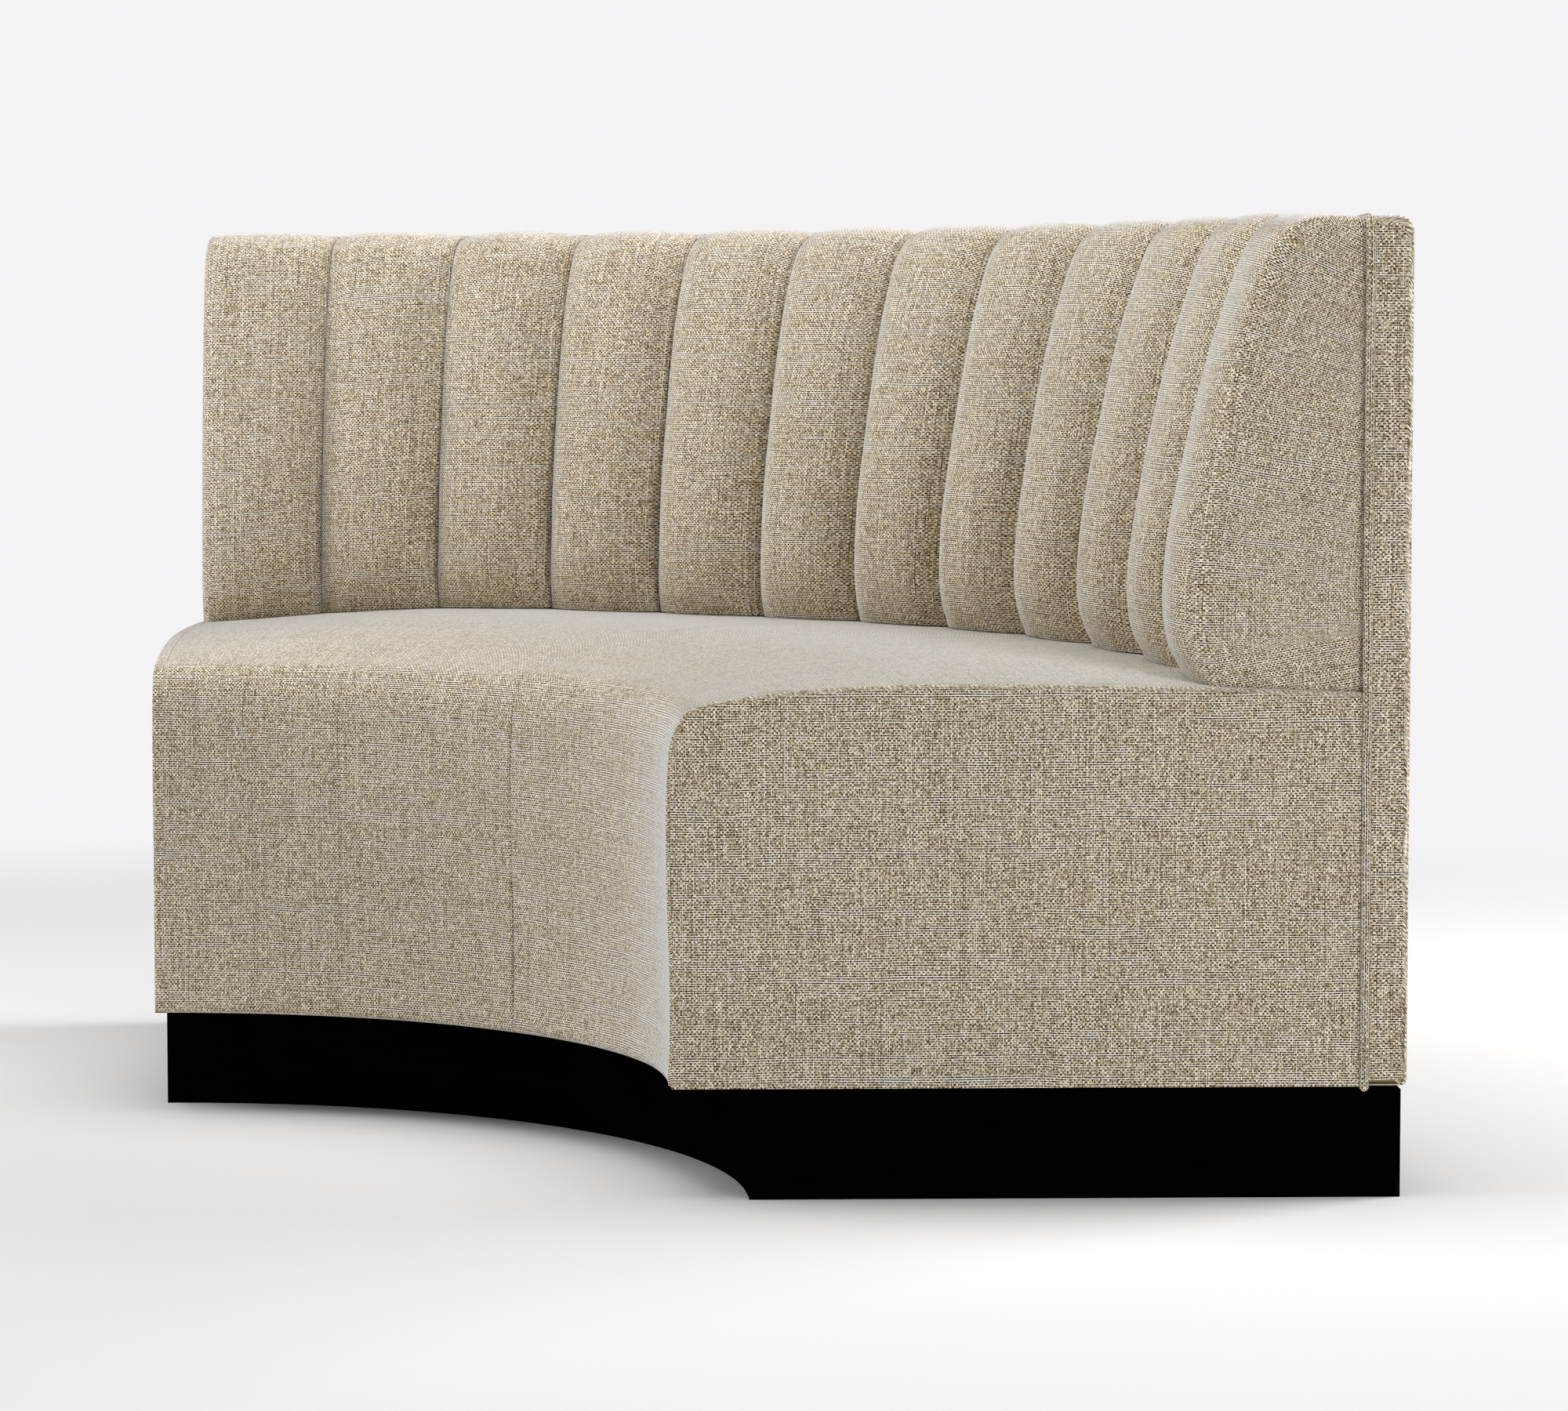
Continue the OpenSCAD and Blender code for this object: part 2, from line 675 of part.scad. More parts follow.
// The welt runs up one end, along the top and down the other. Its line is drawn on the unrolled
// cylinder that carries it, as distance round the arc and height.
module welt() {
    sides = 8;
    bend = welt_bend_share * welt_d;
    top = total_h + welt_rise - welt_d / 2;
    low = skirt_z - welt_d / 2;
    out = welt_d / 2 - welt_proud;
    arc_len = welt_r * sweep_deg * PI / 180;
    // Distance round the arc, height, the direction of travel in degrees and the size of each ring
    up = [[out, low, 90, tip_shares[0]], [out, low + welt_d / 4, 90, tip_shares[1]],
        [out, low + welt_d / 2, 90, 1],
        [out, top - bend, 90, 1]];
    turn = [for (t = [22.5:22.5:90]) [out + bend * (1 - cos(t)), top - bend * (1 - sin(t)), 90 - t, 1]];
    along = [for (i = [1:welt_runs / 2]) [arc_len * i / welt_runs, top - welt_sink, 0, 1]];
    half_line = concat(up, turn, along);
    line = concat(half_line, [for (i = [len(half_line) - 2:-1:0])
        let (q = half_line[i]) [arc_len - q[0], q[1], -q[2], q[3]]]);
    points = [for (q = line, k = [0:sides - 1])
        let (a = right_deg + q[0] / arc_len * sweep_deg, phi = 360 * k / sides, s = q[3] * welt_d / 2,
            r = welt_r + s * cos(phi), across = s * sin(phi), along_t = -across * sin(q[2]))
        [r * cos(a) - along_t * sin(a), r * sin(a) + along_t * cos(a), q[1] + across * cos(q[2])]];
    last = (len(line) - 1) * sides;
    walls = [for (j = [0:len(line) - 2], k = [0:sides - 1])
        let (a = j * sides + k, b = j * sides + (k + 1) % sides)
        each [[a, b, b + sides], [a, b + sides, a + sides]]];
    caps = [for (k = [1:sides - 2]) each [[0, k + 1, k], [last, last + k, last + k + 1]]];
    color("#bcb09a")
        polyhedron(points, concat(walls, caps));
}

translate([0, -floor_shift, 0]) {
    plinth_front_kick();
    plinth_rear_kick();
    plinth_end(1);  // plinth_end_right
    plinth_end(-1);  // plinth_end_left
    for (i = [1:rib_count - 2])
        plinth_rib(i);
    plinth_blocks();
    plinth_screws();
    base_panel();
    for (i = [1:rib_count]) {
        seat_rib(i - 1);
        back_rib(i - 1);
    }
    rib_gussets();
    gusset_screws();
    base_screws();
    deck_cleat();
    seat_deck();
    deck_screws();
    seat_front_board();
    seat_foam();
    seat_cover_right();
    seat_cover_left();
    seat_end_cover_right();
    seat_end_cover_left();
    back_top_rail();
    rail_screws();
    back_inner_board();
    back_outer_board();
    for (i = [1:channels])
        back_channel(i);
    back_end_cover_right();
    back_end_cover_left();
    outer_back_pad();
    welt();
}
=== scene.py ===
import json
import math

import bmesh
import bpy
import numpy as np
from mathutils import Matrix, Vector


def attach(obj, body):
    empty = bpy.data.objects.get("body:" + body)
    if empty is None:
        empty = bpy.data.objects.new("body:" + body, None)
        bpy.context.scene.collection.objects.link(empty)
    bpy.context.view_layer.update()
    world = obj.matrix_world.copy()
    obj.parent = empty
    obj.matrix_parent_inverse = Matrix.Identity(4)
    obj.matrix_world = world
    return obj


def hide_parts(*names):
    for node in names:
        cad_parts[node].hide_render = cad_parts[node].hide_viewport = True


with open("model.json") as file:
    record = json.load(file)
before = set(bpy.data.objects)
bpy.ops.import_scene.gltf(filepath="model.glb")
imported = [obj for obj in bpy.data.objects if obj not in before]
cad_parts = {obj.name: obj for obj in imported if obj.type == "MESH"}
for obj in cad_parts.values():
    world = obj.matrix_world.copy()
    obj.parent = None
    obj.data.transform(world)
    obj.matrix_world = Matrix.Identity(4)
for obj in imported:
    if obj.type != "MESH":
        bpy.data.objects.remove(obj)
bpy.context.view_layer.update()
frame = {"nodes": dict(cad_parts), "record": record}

# Sizes of the bench in metres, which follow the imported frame
MM = 0.001
BACK_R = 1217 * MM
DEPTH = 690 * MM
FRONT_R = BACK_R - DEPTH
HALF_TURN = math.radians(45)
TOTAL_H = 914.4 * MM
PLINTH_H = 101.6 * MM
GAP = 0.3 * MM

# The seat
EDGE_H = 464 * MM
SEAT_RISE = 17.5 * MM
SEAT_CROWN = 19 * MM
ROLL_D = 35 * MM
ROLL_H = 58 * MM
HEM_Z = PLINTH_H + 3.4 * MM
HEM_ROUND = 6 * MM
# Up to this height the boards' foot is black: painted shade under the covers' hem
PAINTED_SHADE_TO = HEM_Z + 1.5 * MM
COVER_T = 12 * MM
SEAT_END_ROUND = 3.2 * MM
SEAT_SEAM = SEAT_END_ROUND + 2 * GAP
SEAT_SEAM_DEEP = 0.3 * MM
# The end panel's edge in millimetres: how far in from its seam, and how deep below its face
SEAT_END_EDGE = [(0, 0.45), (0.15, 0.2), (0.5, 0.06), (1.2, 0.02), (5, 0), (14, 0)]

# The back
CHANNELS = 12
PAD_D = 158 * MM
CHANNEL_RISE = 2.2 * MM
# The radius at which the channels' width is measured
CHANNEL_R = 1.06
LEAN_LOW = 122 * MM
LEAN_HIGH = 50 * MM
DECK_H = 395 * MM
RAIL_TOP = TOTAL_H - 30 * MM
BACK_END_ROUND = 10 * MM
BACK_END_INSET = 8.5 * MM
BACK_END_SWELL = 1.5 * MM
BACK_END_RISE = 3 * MM
END_FOOT_DEEP = 3 * MM
END_FOOT_FADE = 4 * MM
OUTER_T = 38 * MM
OUTER_ROUND = 15 * MM
OUTER_SWELL = 0.7 * MM
OUTER_SWELL_LONG = 0.3
OUTER_WRAP_T = 1.8 * MM

# The welt, which stands a little further out and higher beside the ends
WELT_R = 4.4 * MM
WELT_AT = BACK_R - OUTER_T - WELT_R
WELT_PROUD = 4.8 * MM
WELT_RISE = 2.6 * MM
WELT_SINK = 2.2 * MM
WELT_SINK_RUN = 45 * MM
WELT_OUT = 1.5 * MM

# At the left end the welt and the outer back lie hidden behind the channel
OUTER_LEFT_IN = 4.5 * MM
OUTER_LEFT_DIP = 4.5 * MM
OUTER_LEFT_RUN = 25 * MM
WELT_LEFT_TUCK = 8.1 * MM
WELT_LEFT_SINK = 4.5 * MM

# The cloth on the back's ends, whose rear edge is tucked under the welt
END_GROOVE = 1 * MM
END_GROOVE_FADE = 1.2 * MM
END_FACE_LEN = 0.12
END_TUCK = 1.4 * MM
END_TOP_TUCK = 3 * MM
END_TOP_FROM = 30 * MM
END_TOP_FULL = 15 * MM
PAD_REAR = WELT_AT - WELT_R - GAP
END_REAR = PAD_REAR + WELT_OUT
SEAT_LEN = WELT_AT - FRONT_R
SEAT_REACH = SEAT_LEN - LEAN_LOW - GAP

# How far round the seams between the channels run, and from each to the next
SEAM_TURN = HALF_TURN - BACK_END_INSET / (BACK_R - PAD_D)
SEAM_STEP = 2 * SEAM_TURN / CHANNELS

# Where the axis that the bench curves round stands, behind the footprint's middle
AXIS_Y = -(BACK_R + FRONT_R * math.cos(HALF_TURN)) / 2

# A channel's middle and its seam, from the seat up and over the top: how far forward of the
# welt, as a share of the pad's depth, and how high, as a share of the height above the seat
CREST = [(0.985, 0), (1.07, 0.055), (1.125, 0.16), (1.085, 0.32), (0.985, 0.5),
         (0.83, 0.72), (0.67, 0.885), (0.51, 0.975), (0.3, 1), (0.03, 0.995)]
VALLEY = [(0.84, 0), (0.862, 0.05), (0.855, 0.16), (0.83, 0.32), (0.765, 0.5),
          (0.66, 0.72), (0.54, 0.87), (0.41, 0.955), (0.26, 0.984), (0.03, 0.985)]
CHANNEL_POWER = 2.9
END_FULL = 0.38

# Soft swells on the channels' crests and short puffs beside their seams
SWELL = 0.5 * MM
SWELL_LONG = 0.16
PUFF = 0.15 * MM
PUFF_LONG = 0.045
SWELL_ACROSS = 0.13

# The channels' tops stand a little higher towards the right, but not at the ends
TOP_RISE = 2.5 * MM
TOP_RISE_TURN = 4.8 * MM
TOP_RISE_LEAST = 1.5 * MM
TOP_RISE_ENDS = (math.radians(36), math.radians(44))

# How far in front of the welt the channels' rear begins to reach out to it
REAR_EASE = 14 * MM

# The inner board's share of a channel's hidden rear, which then runs back over the rail
BOARD_SHARE = 0.62

# How steeply the cloth's rows may rise or fall towards the welt on the back's end
END_ROWS_FALL = (-0.19, 0.44)

# The seat's crown from its front edge to the welt, as a share of its rise
CROWN = [(0, 0), (0.09, 0.5), (0.25, 0.93), (0.43, 1), (0.77, 0.8), (1, 0.5)]
DEPTHS = [0.09, 0.25, 0.45, 0.72, 1]
CROWN_POWER = 2.4
EDGE_LIFT = 0.3
LEFT_LIFT = 6.2 * MM
FULL_LIFT = 0.4

# The seams: how deep the cloth is drawn in, and how fast that fades beside them
SEAM_DEEP = 2.4 * MM
SEAM_FADE = 1.8 * MM
MIDDLE_DEEP = 1.0 * MM
MIDDLE_FADE = 1.2 * MM
STITCH_STEP = 5 * MM
STITCH_LONG = 3.4 * MM
STITCH_R = 0.45 * MM
STITCH_SUNK = 0.9 * MM
WELT_STITCH_TURN = math.radians(94)

# How finely the cloth is cut on the channels, the back's ends and the outer back
CHANNEL_CLOTH = 1.05
END_CLOTH = 1.16
OUTER_CLOTH = 0.84

# Where each piece of cloth is cut from the bolt, so that no two have the same yarns
SEAT_CUT = {1: 0.37, -1: 1.91}
SEAT_END_CUT = {1: 0.83, -1: 2.6}
CHANNEL_CUT = (0.613, 0.271)
OUTER_CUT = 3.3
WELT_CUT = (5.1, 0.84 * MM)

# How far behind the seat's front the cloth's columns keep their own width
SEAT_TRUE = 0.12 * DEPTH

# The cloth: how far apart its yarns are, and how strong and uneven each part of its tone is
COLUMN = 2.07 * MM
ROW = 2.28 * MM
MIDDLE_TONE = 0.555
COLUMN_TONE = 0.02
ROW_TONE = 0.235
DOT_TONE = 0.245
WEFT_UNEVEN = 2.25
GAP_UNEVEN = 3.3
WARP_UNEVEN = 2.1
DOT_UNEVEN = 0.3
CROSSING_UNEVEN = 0.65
FIBRE_UNEVEN = 0.9
WANDER = 1.3
WANDER_LONG = 70 * MM
# How many crossings a weft and a warp yarn's tone lasts, and a step that parts neighbours
WEFT_LONG = 280.0
WARP_LONG = 130.0
APART = 3.7


def mix(a, b, share):
    return a + (b - a) * share


def pairs(a, b):
    return np.stack([a, b], axis=-1)


def there_and_back(values):
    """Values along a ring's front, back along its rear and to the first again."""
    return np.concatenate([values, values[::-1], values[:1]])


# Curves

# How many waves a soft random swell is made of
RIPPLES = 7


def spline(knots, values, places):
    """Values of a smooth curve through the given ones, as a natural cubic spline."""
    knots = np.asarray(knots, float)
    values = np.asarray(values, float)
    steps = np.diff(knots)
    n = len(knots)
    matrix = np.eye(n)
    right = np.zeros_like(values)
    for i in range(1, n - 1):
        matrix[i, i - 1] = steps[i - 1]
        matrix[i, i] = 2 * (steps[i - 1] + steps[i])
        matrix[i, i + 1] = steps[i]
        right[i] = 6 * ((values[i + 1] - values[i]) / steps[i]
                        - (values[i] - values[i - 1]) / steps[i - 1])
    bend = np.linalg.solve(matrix, right)
    at = np.clip(np.searchsorted(knots, places) - 1, 0, n - 2)
    h = steps[at]
    a = (knots[at + 1] - places) / h
    b = 1 - a
    if values.ndim > 1:
        a, b, h = a[:, None], b[:, None], h[:, None]
    return (a * values[at] + b * values[at + 1]
            + ((a ** 3 - a) * bend[at] + (b ** 3 - b) * bend[at + 1]) * h ** 2 / 6)


def lengths(path):
    """Distance along a path at each of its points."""
    path = np.asarray(path, float)
    return np.concatenate([[0], np.cumsum(np.linalg.norm(np.diff(path, axis=0), axis=1))])


def smooth_path(points, count):
    """A smooth curve through points, as `count` points evenly along it."""
    run = lengths(points)
    return spline(run, points, np.linspace(0, run[-1], count))


def ripple(u, v, wave, seed):
    """A soft random swell between about -1 and 1, whose waves are about `wave` long."""
    rng = np.random.default_rng(seed)
    total = np.zeros(np.broadcast(u, v).shape)
    for _ in range(RIPPLES):
        turn = rng.uniform(0, math.pi)
        size = wave * rng.uniform(0.7, 1.6)
        phase = rng.uniform(0, 2 * math.pi)
        total += np.sin(2 * math.pi * (u * math.cos(turn) + v * math.sin(turn)) / size + phase)
    return total / math.sqrt(RIPPLES)


def on_arc(r, angle, z):
    """Points at radii r, turned by `angle` from the bench's middle, at heights z."""
    r, angle, z = np.broadcast_arrays(r, angle, z)
    return np.stack([r * np.sin(angle), AXIS_Y + r * np.cos(angle), z], axis=-1)


# The forms of the seat

def arc_share(angle):
    return np.minimum(1, np.abs(angle) / HALF_TURN)


def crown_at(angle):
    return SEAT_CROWN * (1 - arc_share(angle) ** CROWN_POWER)


def edge_at(angle):
    return EDGE_H + EDGE_LIFT * crown_at(angle)


def left_lift(angle):
    """How much fuller the seat's left half is stuffed towards its middle."""
    lift = LEFT_LIFT * np.sin(math.pi * arc_share(angle) ** 1.6) ** 2
    return np.where(np.asarray(angle) < 0, lift, 0)


def seat_top(x, angle):
    """Height of the seat at a depth x behind its front."""
    t = (x - ROLL_D) / (SEAT_LEN - ROLL_D)
    knots, shares = zip(*CROWN)
    rise = np.interp(t, knots, shares)
    lift = np.sin(math.pi / 2 * np.minimum(1, t / FULL_LIFT))
    return (edge_at(angle) + SEAT_RISE * rise
            + ((1 - EDGE_LIFT) * crown_at(angle) + left_lift(angle)) * lift)


def seat_knots(angle, inset, reach):
    """Points up the seat's front, over its roll and back along its top."""
    edge = edge_at(angle)
    points = [(FRONT_R + inset, HEM_Z + 2 * HEM_ROUND),
              (FRONT_R + inset, mix(HEM_Z, edge - ROLL_H, 0.5)),
              (FRONT_R + inset, edge - ROLL_H)]
    for phi in np.radians([22.5, 45, 67.5, 90]):
        points.append((FRONT_R + ROLL_D - (ROLL_D - inset) * math.cos(phi),
                       edge - ROLL_H + (ROLL_H - inset) * math.sin(phi)))
    for t in DEPTHS:
        x = mix(ROLL_D, reach, t)
        points.append((FRONT_R + x, float(seat_top(x, angle)) - inset))
    return points


def seam_z(angle):
    """Height at which the channels meet the seat."""
    return seat_top(SEAT_LEN - CREST[0][0] * PAD_D, angle) + 2 * GAP


def board_r(z):
    return WELT_AT - mix(LEAN_LOW, LEAN_HIGH, (z - DECK_H) / (RAIL_TOP - DECK_H))


# Meshes

# The angle past which an edge is sharp
SHARP = math.radians(50)


def skin(name, rings, uvs, cap_uv=None):
    """A closed mesh over rings of points. `uvs` holds one more column than a ring, so that the
    cloth isn't squeezed where a ring closes. `cap_uv` gives the cloth's place on the two ends."""
    rings = np.asarray(rings, float)
    count, around, _ = rings.shape
    mesh = bmesh.new()
    layer = mesh.loops.layers.uv.new("cloth")
    grid = [[mesh.verts.new(p) for p in ring] for ring in rings]
    for j in range(count - 1):
        for i in range(around):
            k = (i + 1) % around
            corners = [(grid[j][i], (j, i)), (grid[j][k], (j, i + 1)),
                       (grid[j + 1][k], (j + 1, i + 1)), (grid[j + 1][i], (j + 1, i))]
            face = mesh.faces.new([c[0] for c in corners])
            for loop, (_, place) in zip(face.loops, corners):
                loop[layer].uv = uvs[place]
    for ring in (grid[0], grid[-1]):
        face = mesh.faces.new(ring)
        for loop in face.loops:
            loop[layer].uv = cap_uv(loop.vert.co) if cap_uv else (loop.vert.co.x, loop.vert.co.z)
    bmesh.ops.remove_doubles(mesh, verts=mesh.verts, dist=0.00001)
    bmesh.ops.dissolve_degenerate(mesh, edges=mesh.edges, dist=0.000005)
    bmesh.ops.triangulate(mesh, faces=[f for f in mesh.faces if len(f.verts) > 4])
    bmesh.ops.recalc_face_normals(mesh, faces=mesh.faces)
    return mesh_object(name, mesh)


def mesh_object(name, mesh):
    data = bpy.data.meshes.new(name)
    mesh.to_mesh(data)
    mesh.free()
    data.shade_smooth()
    data.set_sharp_from_angle(angle=SHARP)
    piece = bpy.data.objects.new(name, data)
    bpy.context.scene.collection.objects.link(piece)
    return piece


def dress(piece, finish, replaced=()):
    """Gives a piece its finish and its place on the bench's body, and hides the nodes that it stands
    for.
    """
    piece.data.materials.clear()
    piece.data.materials.append(finish)
    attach(piece, "root")
    if replaced:
        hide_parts(*replaced)
    return piece


# Finishes

def paint(red, green, blue):
    """A colour that is written as it looks on a screen."""
    linear = []
    for value in (red, green, blue):
        v = value / 255
        linear.append(v / 12.92 if v <= 0.04045 else ((v + 0.055) / 1.055) ** 2.4)
    return (*linear, 1)


class Wire:
    """A number in a finish. Arithmetic on it adds Math nodes."""

    def __init__(self, finish, socket):
        self.finish = finish
        self.socket = socket

    def math(self, operation, *values):
        inputs = dict(enumerate(values))
        return self.finish.add("ShaderNodeMath", {"operation": operation}, inputs)

    def __add__(self, other):
        return self.math("ADD", self, other)

    def __sub__(self, other):
        return self.math("SUBTRACT", self, other)

    def __rsub__(self, other):
        return self.math("SUBTRACT", other, self)

    def __mul__(self, other):
        return self.math("MULTIPLY", self, other)

    def __truediv__(self, other):
        return self.math("DIVIDE", self, other)

    def __mod__(self, other):
        return self.math("FLOORED_MODULO", self, other)

    __radd__ = __add__
    __rmul__ = __mul__

    def floor(self):
        return self.math("FLOOR", self)

    def sin(self):
        return self.math("SINE", self)

    def cos(self):
        return self.math("COSINE", self)

    def size(self):
        return self.math("ABSOLUTE", self)

    def between(self, low, high, to_low=0.0, to_high=1.0):
        """Runs smoothly from to_low to to_high as this goes from low to high."""
        return self.finish.add("ShaderNodeMapRange", {"interpolation_type": "SMOOTHSTEP"},
                               {"Value": self, "From Min": low, "From Max": high,
                                "To Min": to_low, "To Max": to_high})


class Finish:
    """A material in the making."""

    def __init__(self, name):
        self.material = bpy.data.materials.new(name)
        self.material.use_nodes = True
        self.tree = self.material.node_tree
        self.tree.nodes.clear()

    def add(self, kind, settings=None, sockets=None, outs=None):
        """Adds a node with its settings, then the values or links of its sockets."""
        node = self.tree.nodes.new(kind)
        for key, value in (settings or {}).items():
            if key == "stops":
                self.set_stops(node.color_ramp, value)
            else:
                setattr(node, key, value)
        for key, value in (sockets or {}).items():
            if isinstance(value, Wire):
                self.tree.links.new(value.socket, node.inputs[key])
            else:
                node.inputs[key].default_value = value
        if outs:
            return [Wire(self, node.outputs[o]) for o in outs]
        return Wire(self, node.outputs[0]) if node.outputs else None

    def set_stops(self, ramp, stops):
        while len(ramp.elements) < len(stops):
            ramp.elements.new(1)
        for element, (place, colour) in zip(ramp.elements, stops):
            element.position = place
            element.color = colour

    def place(self):
        return self.add("ShaderNodeTexCoord", {}, {}, outs=("Object",))[0]

    def parts(self, point):
        return self.add("ShaderNodeSeparateXYZ", {}, {"Vector": point}, outs=("X", "Y", "Z"))

    def point(self, x, y, z=0.0):
        return self.add("ShaderNodeCombineXYZ", {}, {"X": x, "Y": y, "Z": z})

    def noise(self, place, scale=1.0, detail=1.0, rough=0.5):
        return self.add("ShaderNodeTexNoise", {"noise_dimensions": "3D"},
                        {"Vector": place, "Scale": scale, "Detail": detail, "Roughness": rough})

    def chance(self, place):
        """A random number for each whole place."""
        return self.add("ShaderNodeTexWhiteNoise", {"noise_dimensions": "3D"}, {"Vector": place})

    def ramp(self, value, stops):
        return self.add("ShaderNodeValToRGB", {"stops": stops}, {0: value})

    def blend(self, share, low, high):
        """Mixes two colours."""
        node = self.tree.nodes.new("ShaderNodeMix")
        node.data_type = "RGBA"
        node.blend_type = "MIX"
        for index, value in ((0, share), (6, low), (7, high)):
            if isinstance(value, Wire):
                self.tree.links.new(value.socket, node.inputs[index])
            else:
                node.inputs[index].default_value = value
        return Wire(self, node.outputs[2])

    def bump(self, height, strength, distance):
        return self.add("ShaderNodeBump", {},
                        {"Height": height, "Strength": strength, "Distance": distance})

    def close(self, **sockets):
        """Ends the finish in one shader with these sockets."""
        named = {key.replace("_", " "): value for key, value in sockets.items()}
        shader = self.add("ShaderNodeBsdfPrincipled", {}, named)
        self.add("ShaderNodeOutputMaterial", {}, {"Surface": shader})
        return self.material


# The cloth's tones from its gaps to its brightest yarn
TONES = [(0.02, (22, 12, 0)), (0.13, (53, 37, 10)), (0.25, (88, 72, 44)), (0.4, (130, 114, 86)),
         (0.55, (172, 157, 129)), (0.7, (215, 200, 172)), (0.85, (255, 243, 216)), (1, (255, 255, 255))]


def woven_cloth():
    """Plain weave of uneven linen-look yarn: pale weft along the rows over a darker warp."""
    f = Finish("woven_linen_look")
    uv = f.add("ShaderNodeUVMap", {"uv_map": "cloth"})
    u, v, _ = f.parts(uv)

    # Columns and rows, which wander a little
    sway = f.noise(f.point(u / WANDER_LONG, v / WANDER_LONG, 1.5), detail=0.0) - 0.5
    lean = f.noise(f.point(u / WANDER_LONG, v / WANDER_LONG, 8.5), detail=0.0) - 0.5
    x = u / COLUMN + sway * WANDER
    y = v / ROW + lean * WANDER
    column = (x + 0.5).floor()
    row = (y + 0.5).floor()

    # Each yarn's own tone, which drifts along it, a tone for each crossing, and the loose fibres
    weft = f.noise(f.point(x / WEFT_LONG, row * APART, 0.5), detail=7.0, rough=0.97) - 0.5
    gap = f.noise(f.point(x / WEFT_LONG, y.floor() * APART, 2.5), detail=7.0, rough=0.97) - 0.5
    warp = f.noise(f.point(y / WARP_LONG, column * APART, 7.5), detail=6.0, rough=0.95) - 0.5
    patch = f.noise(f.point(x / 6.0, y / 5.0, 5.5), detail=1.0) - 0.5
    speck = f.chance(f.point(x.floor(), y.floor(), 1.0)) - 0.5
    fibre = f.noise(f.point(x * 2.9, y * 1.9, 4.5), detail=0.0) - 0.5

    # Pale rows with a dark dot at every second crossing between them
    rows = (y * (2 * math.pi)).cos()
    columns = (x * (2 * math.pi)).cos()
    dots = (x * math.pi).sin() * (y * math.pi).sin()
    tone = (MIDDLE_TONE + (weft * WEFT_UNEVEN + gap * GAP_UNEVEN + ROW_TONE) * rows
            + (warp * WARP_UNEVEN + COLUMN_TONE) * columns + warp * WARP_UNEVEN * 0.25
            + (patch * DOT_UNEVEN + DOT_TONE) * dots
            + speck * dots.size() * CROSSING_UNEVEN + fibre * FIBRE_UNEVEN)
    cloth = f.ramp(tone, [(place, paint(*c)) for place, c in TONES])
    return f.close(Base_Color=cloth, Roughness=0.9, Normal=f.bump(tone, 0.25, 0.0005),
                   Sheen_Weight=1.0, Sheen_Roughness=0.35, Sheen_Tint=paint(247, 250, 255),
                   Specular_IOR_Level=0.2)


def thread_and_shade_finish():
    f = Finish("seam_thread_and_painted_shade")
    place = f.place()
    twist = f.noise(place, scale=1800.0, detail=1.0)
    # The thread is dark brown, and darker than the thread alone: it also stands for painted shade in
    # the seams' crevices
    colour = f.ramp(twist, [(0.35, paint(46, 37, 25)), (0.65, paint(84, 70, 50))])
    return f.close(Base_Color=colour, Roughness=0.8, Specular_IOR_Level=0.2,
                   Normal=f.bump(twist, 0.4, 0.0002))


def plinth_finish():
    """Matte black lacquer over faint grain."""
    f = Finish("matte_black_lacquer")
    place = f.place()
    x, y, z = f.parts(place)
    grain = f.noise(f.point(x * 6, y * 6, z * 220), scale=1.0, detail=3.0)
    scuff = f.noise(place, scale=14.0, detail=4.0, rough=0.65)
    colour = f.ramp(grain * 0.5 + scuff * 0.5,
                    [(0.4, (0.0003, 0.0003, 0.0003, 1)), (0.62, (0.0009, 0.0009, 0.0009, 1))])
    rough = scuff.between(0.35, 0.7, 0.62, 0.8)
    return f.close(Base_Color=colour, Roughness=rough, Specular_IOR_Level=0.0,
                   Normal=f.bump(grain, 0.15, 0.0003))


def plywood_finish(name, tone, layer_t):
    """Plywood with long grain on its faces, thin layers on its edges and a black foot that is painted
    shade under the covers' hem.
    """
    f = Finish(name)
    place = f.place()
    x, y, z = f.parts(place)
    streak = f.noise(f.point(x * 5, y * 60, z * 8), detail=4.0, rough=0.6)
    layer = (z / layer_t).floor() % 2.0
    cloud = f.noise(place, scale=9.0, detail=3.0)
    pale = paint(*tone)
    brown = paint(*[c * 0.8 for c in tone])
    colour = f.blend(streak.between(0.3, 0.75), pale, brown)
    colour = f.blend(layer * 0.22, colour, paint(*[c * 0.62 for c in tone]))
    # Black below the hem's height: painted shade under the covers' hem
    above_painted_shade = z.between(PAINTED_SHADE_TO - 0.4 * MM, PAINTED_SHADE_TO)
    colour = f.blend(above_painted_shade, (0.0006, 0.0006, 0.0006, 1), colour)
    rough = cloud.between(0.3, 0.7, 0.55, 0.75)
    return f.close(Base_Color=colour, Roughness=rough, Specular_IOR_Level=0.0,
                   Normal=f.bump(streak, 0.25, 0.0004))


def zinc_finish():
    f = Finish("zinc_plate")
    place = f.place()
    cloud = f.noise(place, scale=160.0, detail=3.0)
    colour = f.ramp(cloud, [(0.35, (0.42, 0.42, 0.4, 1)), (0.65, (0.62, 0.62, 0.63, 1))])
    return f.close(Base_Color=colour, Metallic=1.0, Roughness=cloud.between(0.3, 0.7, 0.28, 0.45))


def foam_finish():
    f = Finish("open_cell_foam")
    place = f.place()
    cells = f.add("ShaderNodeTexVoronoi", {}, {"Vector": place, "Scale": 420.0})
    cloud = f.noise(place, scale=12.0, detail=2.0)
    colour = f.ramp(cells * 0.7 + cloud * 0.3,
                    [(0.1, paint(196, 184, 134)), (0.55, paint(240, 231, 190))])
    return f.close(Base_Color=colour, Roughness=0.95, Normal=f.bump(cells, 0.6, 0.0008))


# The seat's covers

# How far from a seam the places beside it are
SEAM_PLACES = [d * MM for d in (0, 0.5, 1.1, 2.0, 3.4, 5.5, 9.0)]


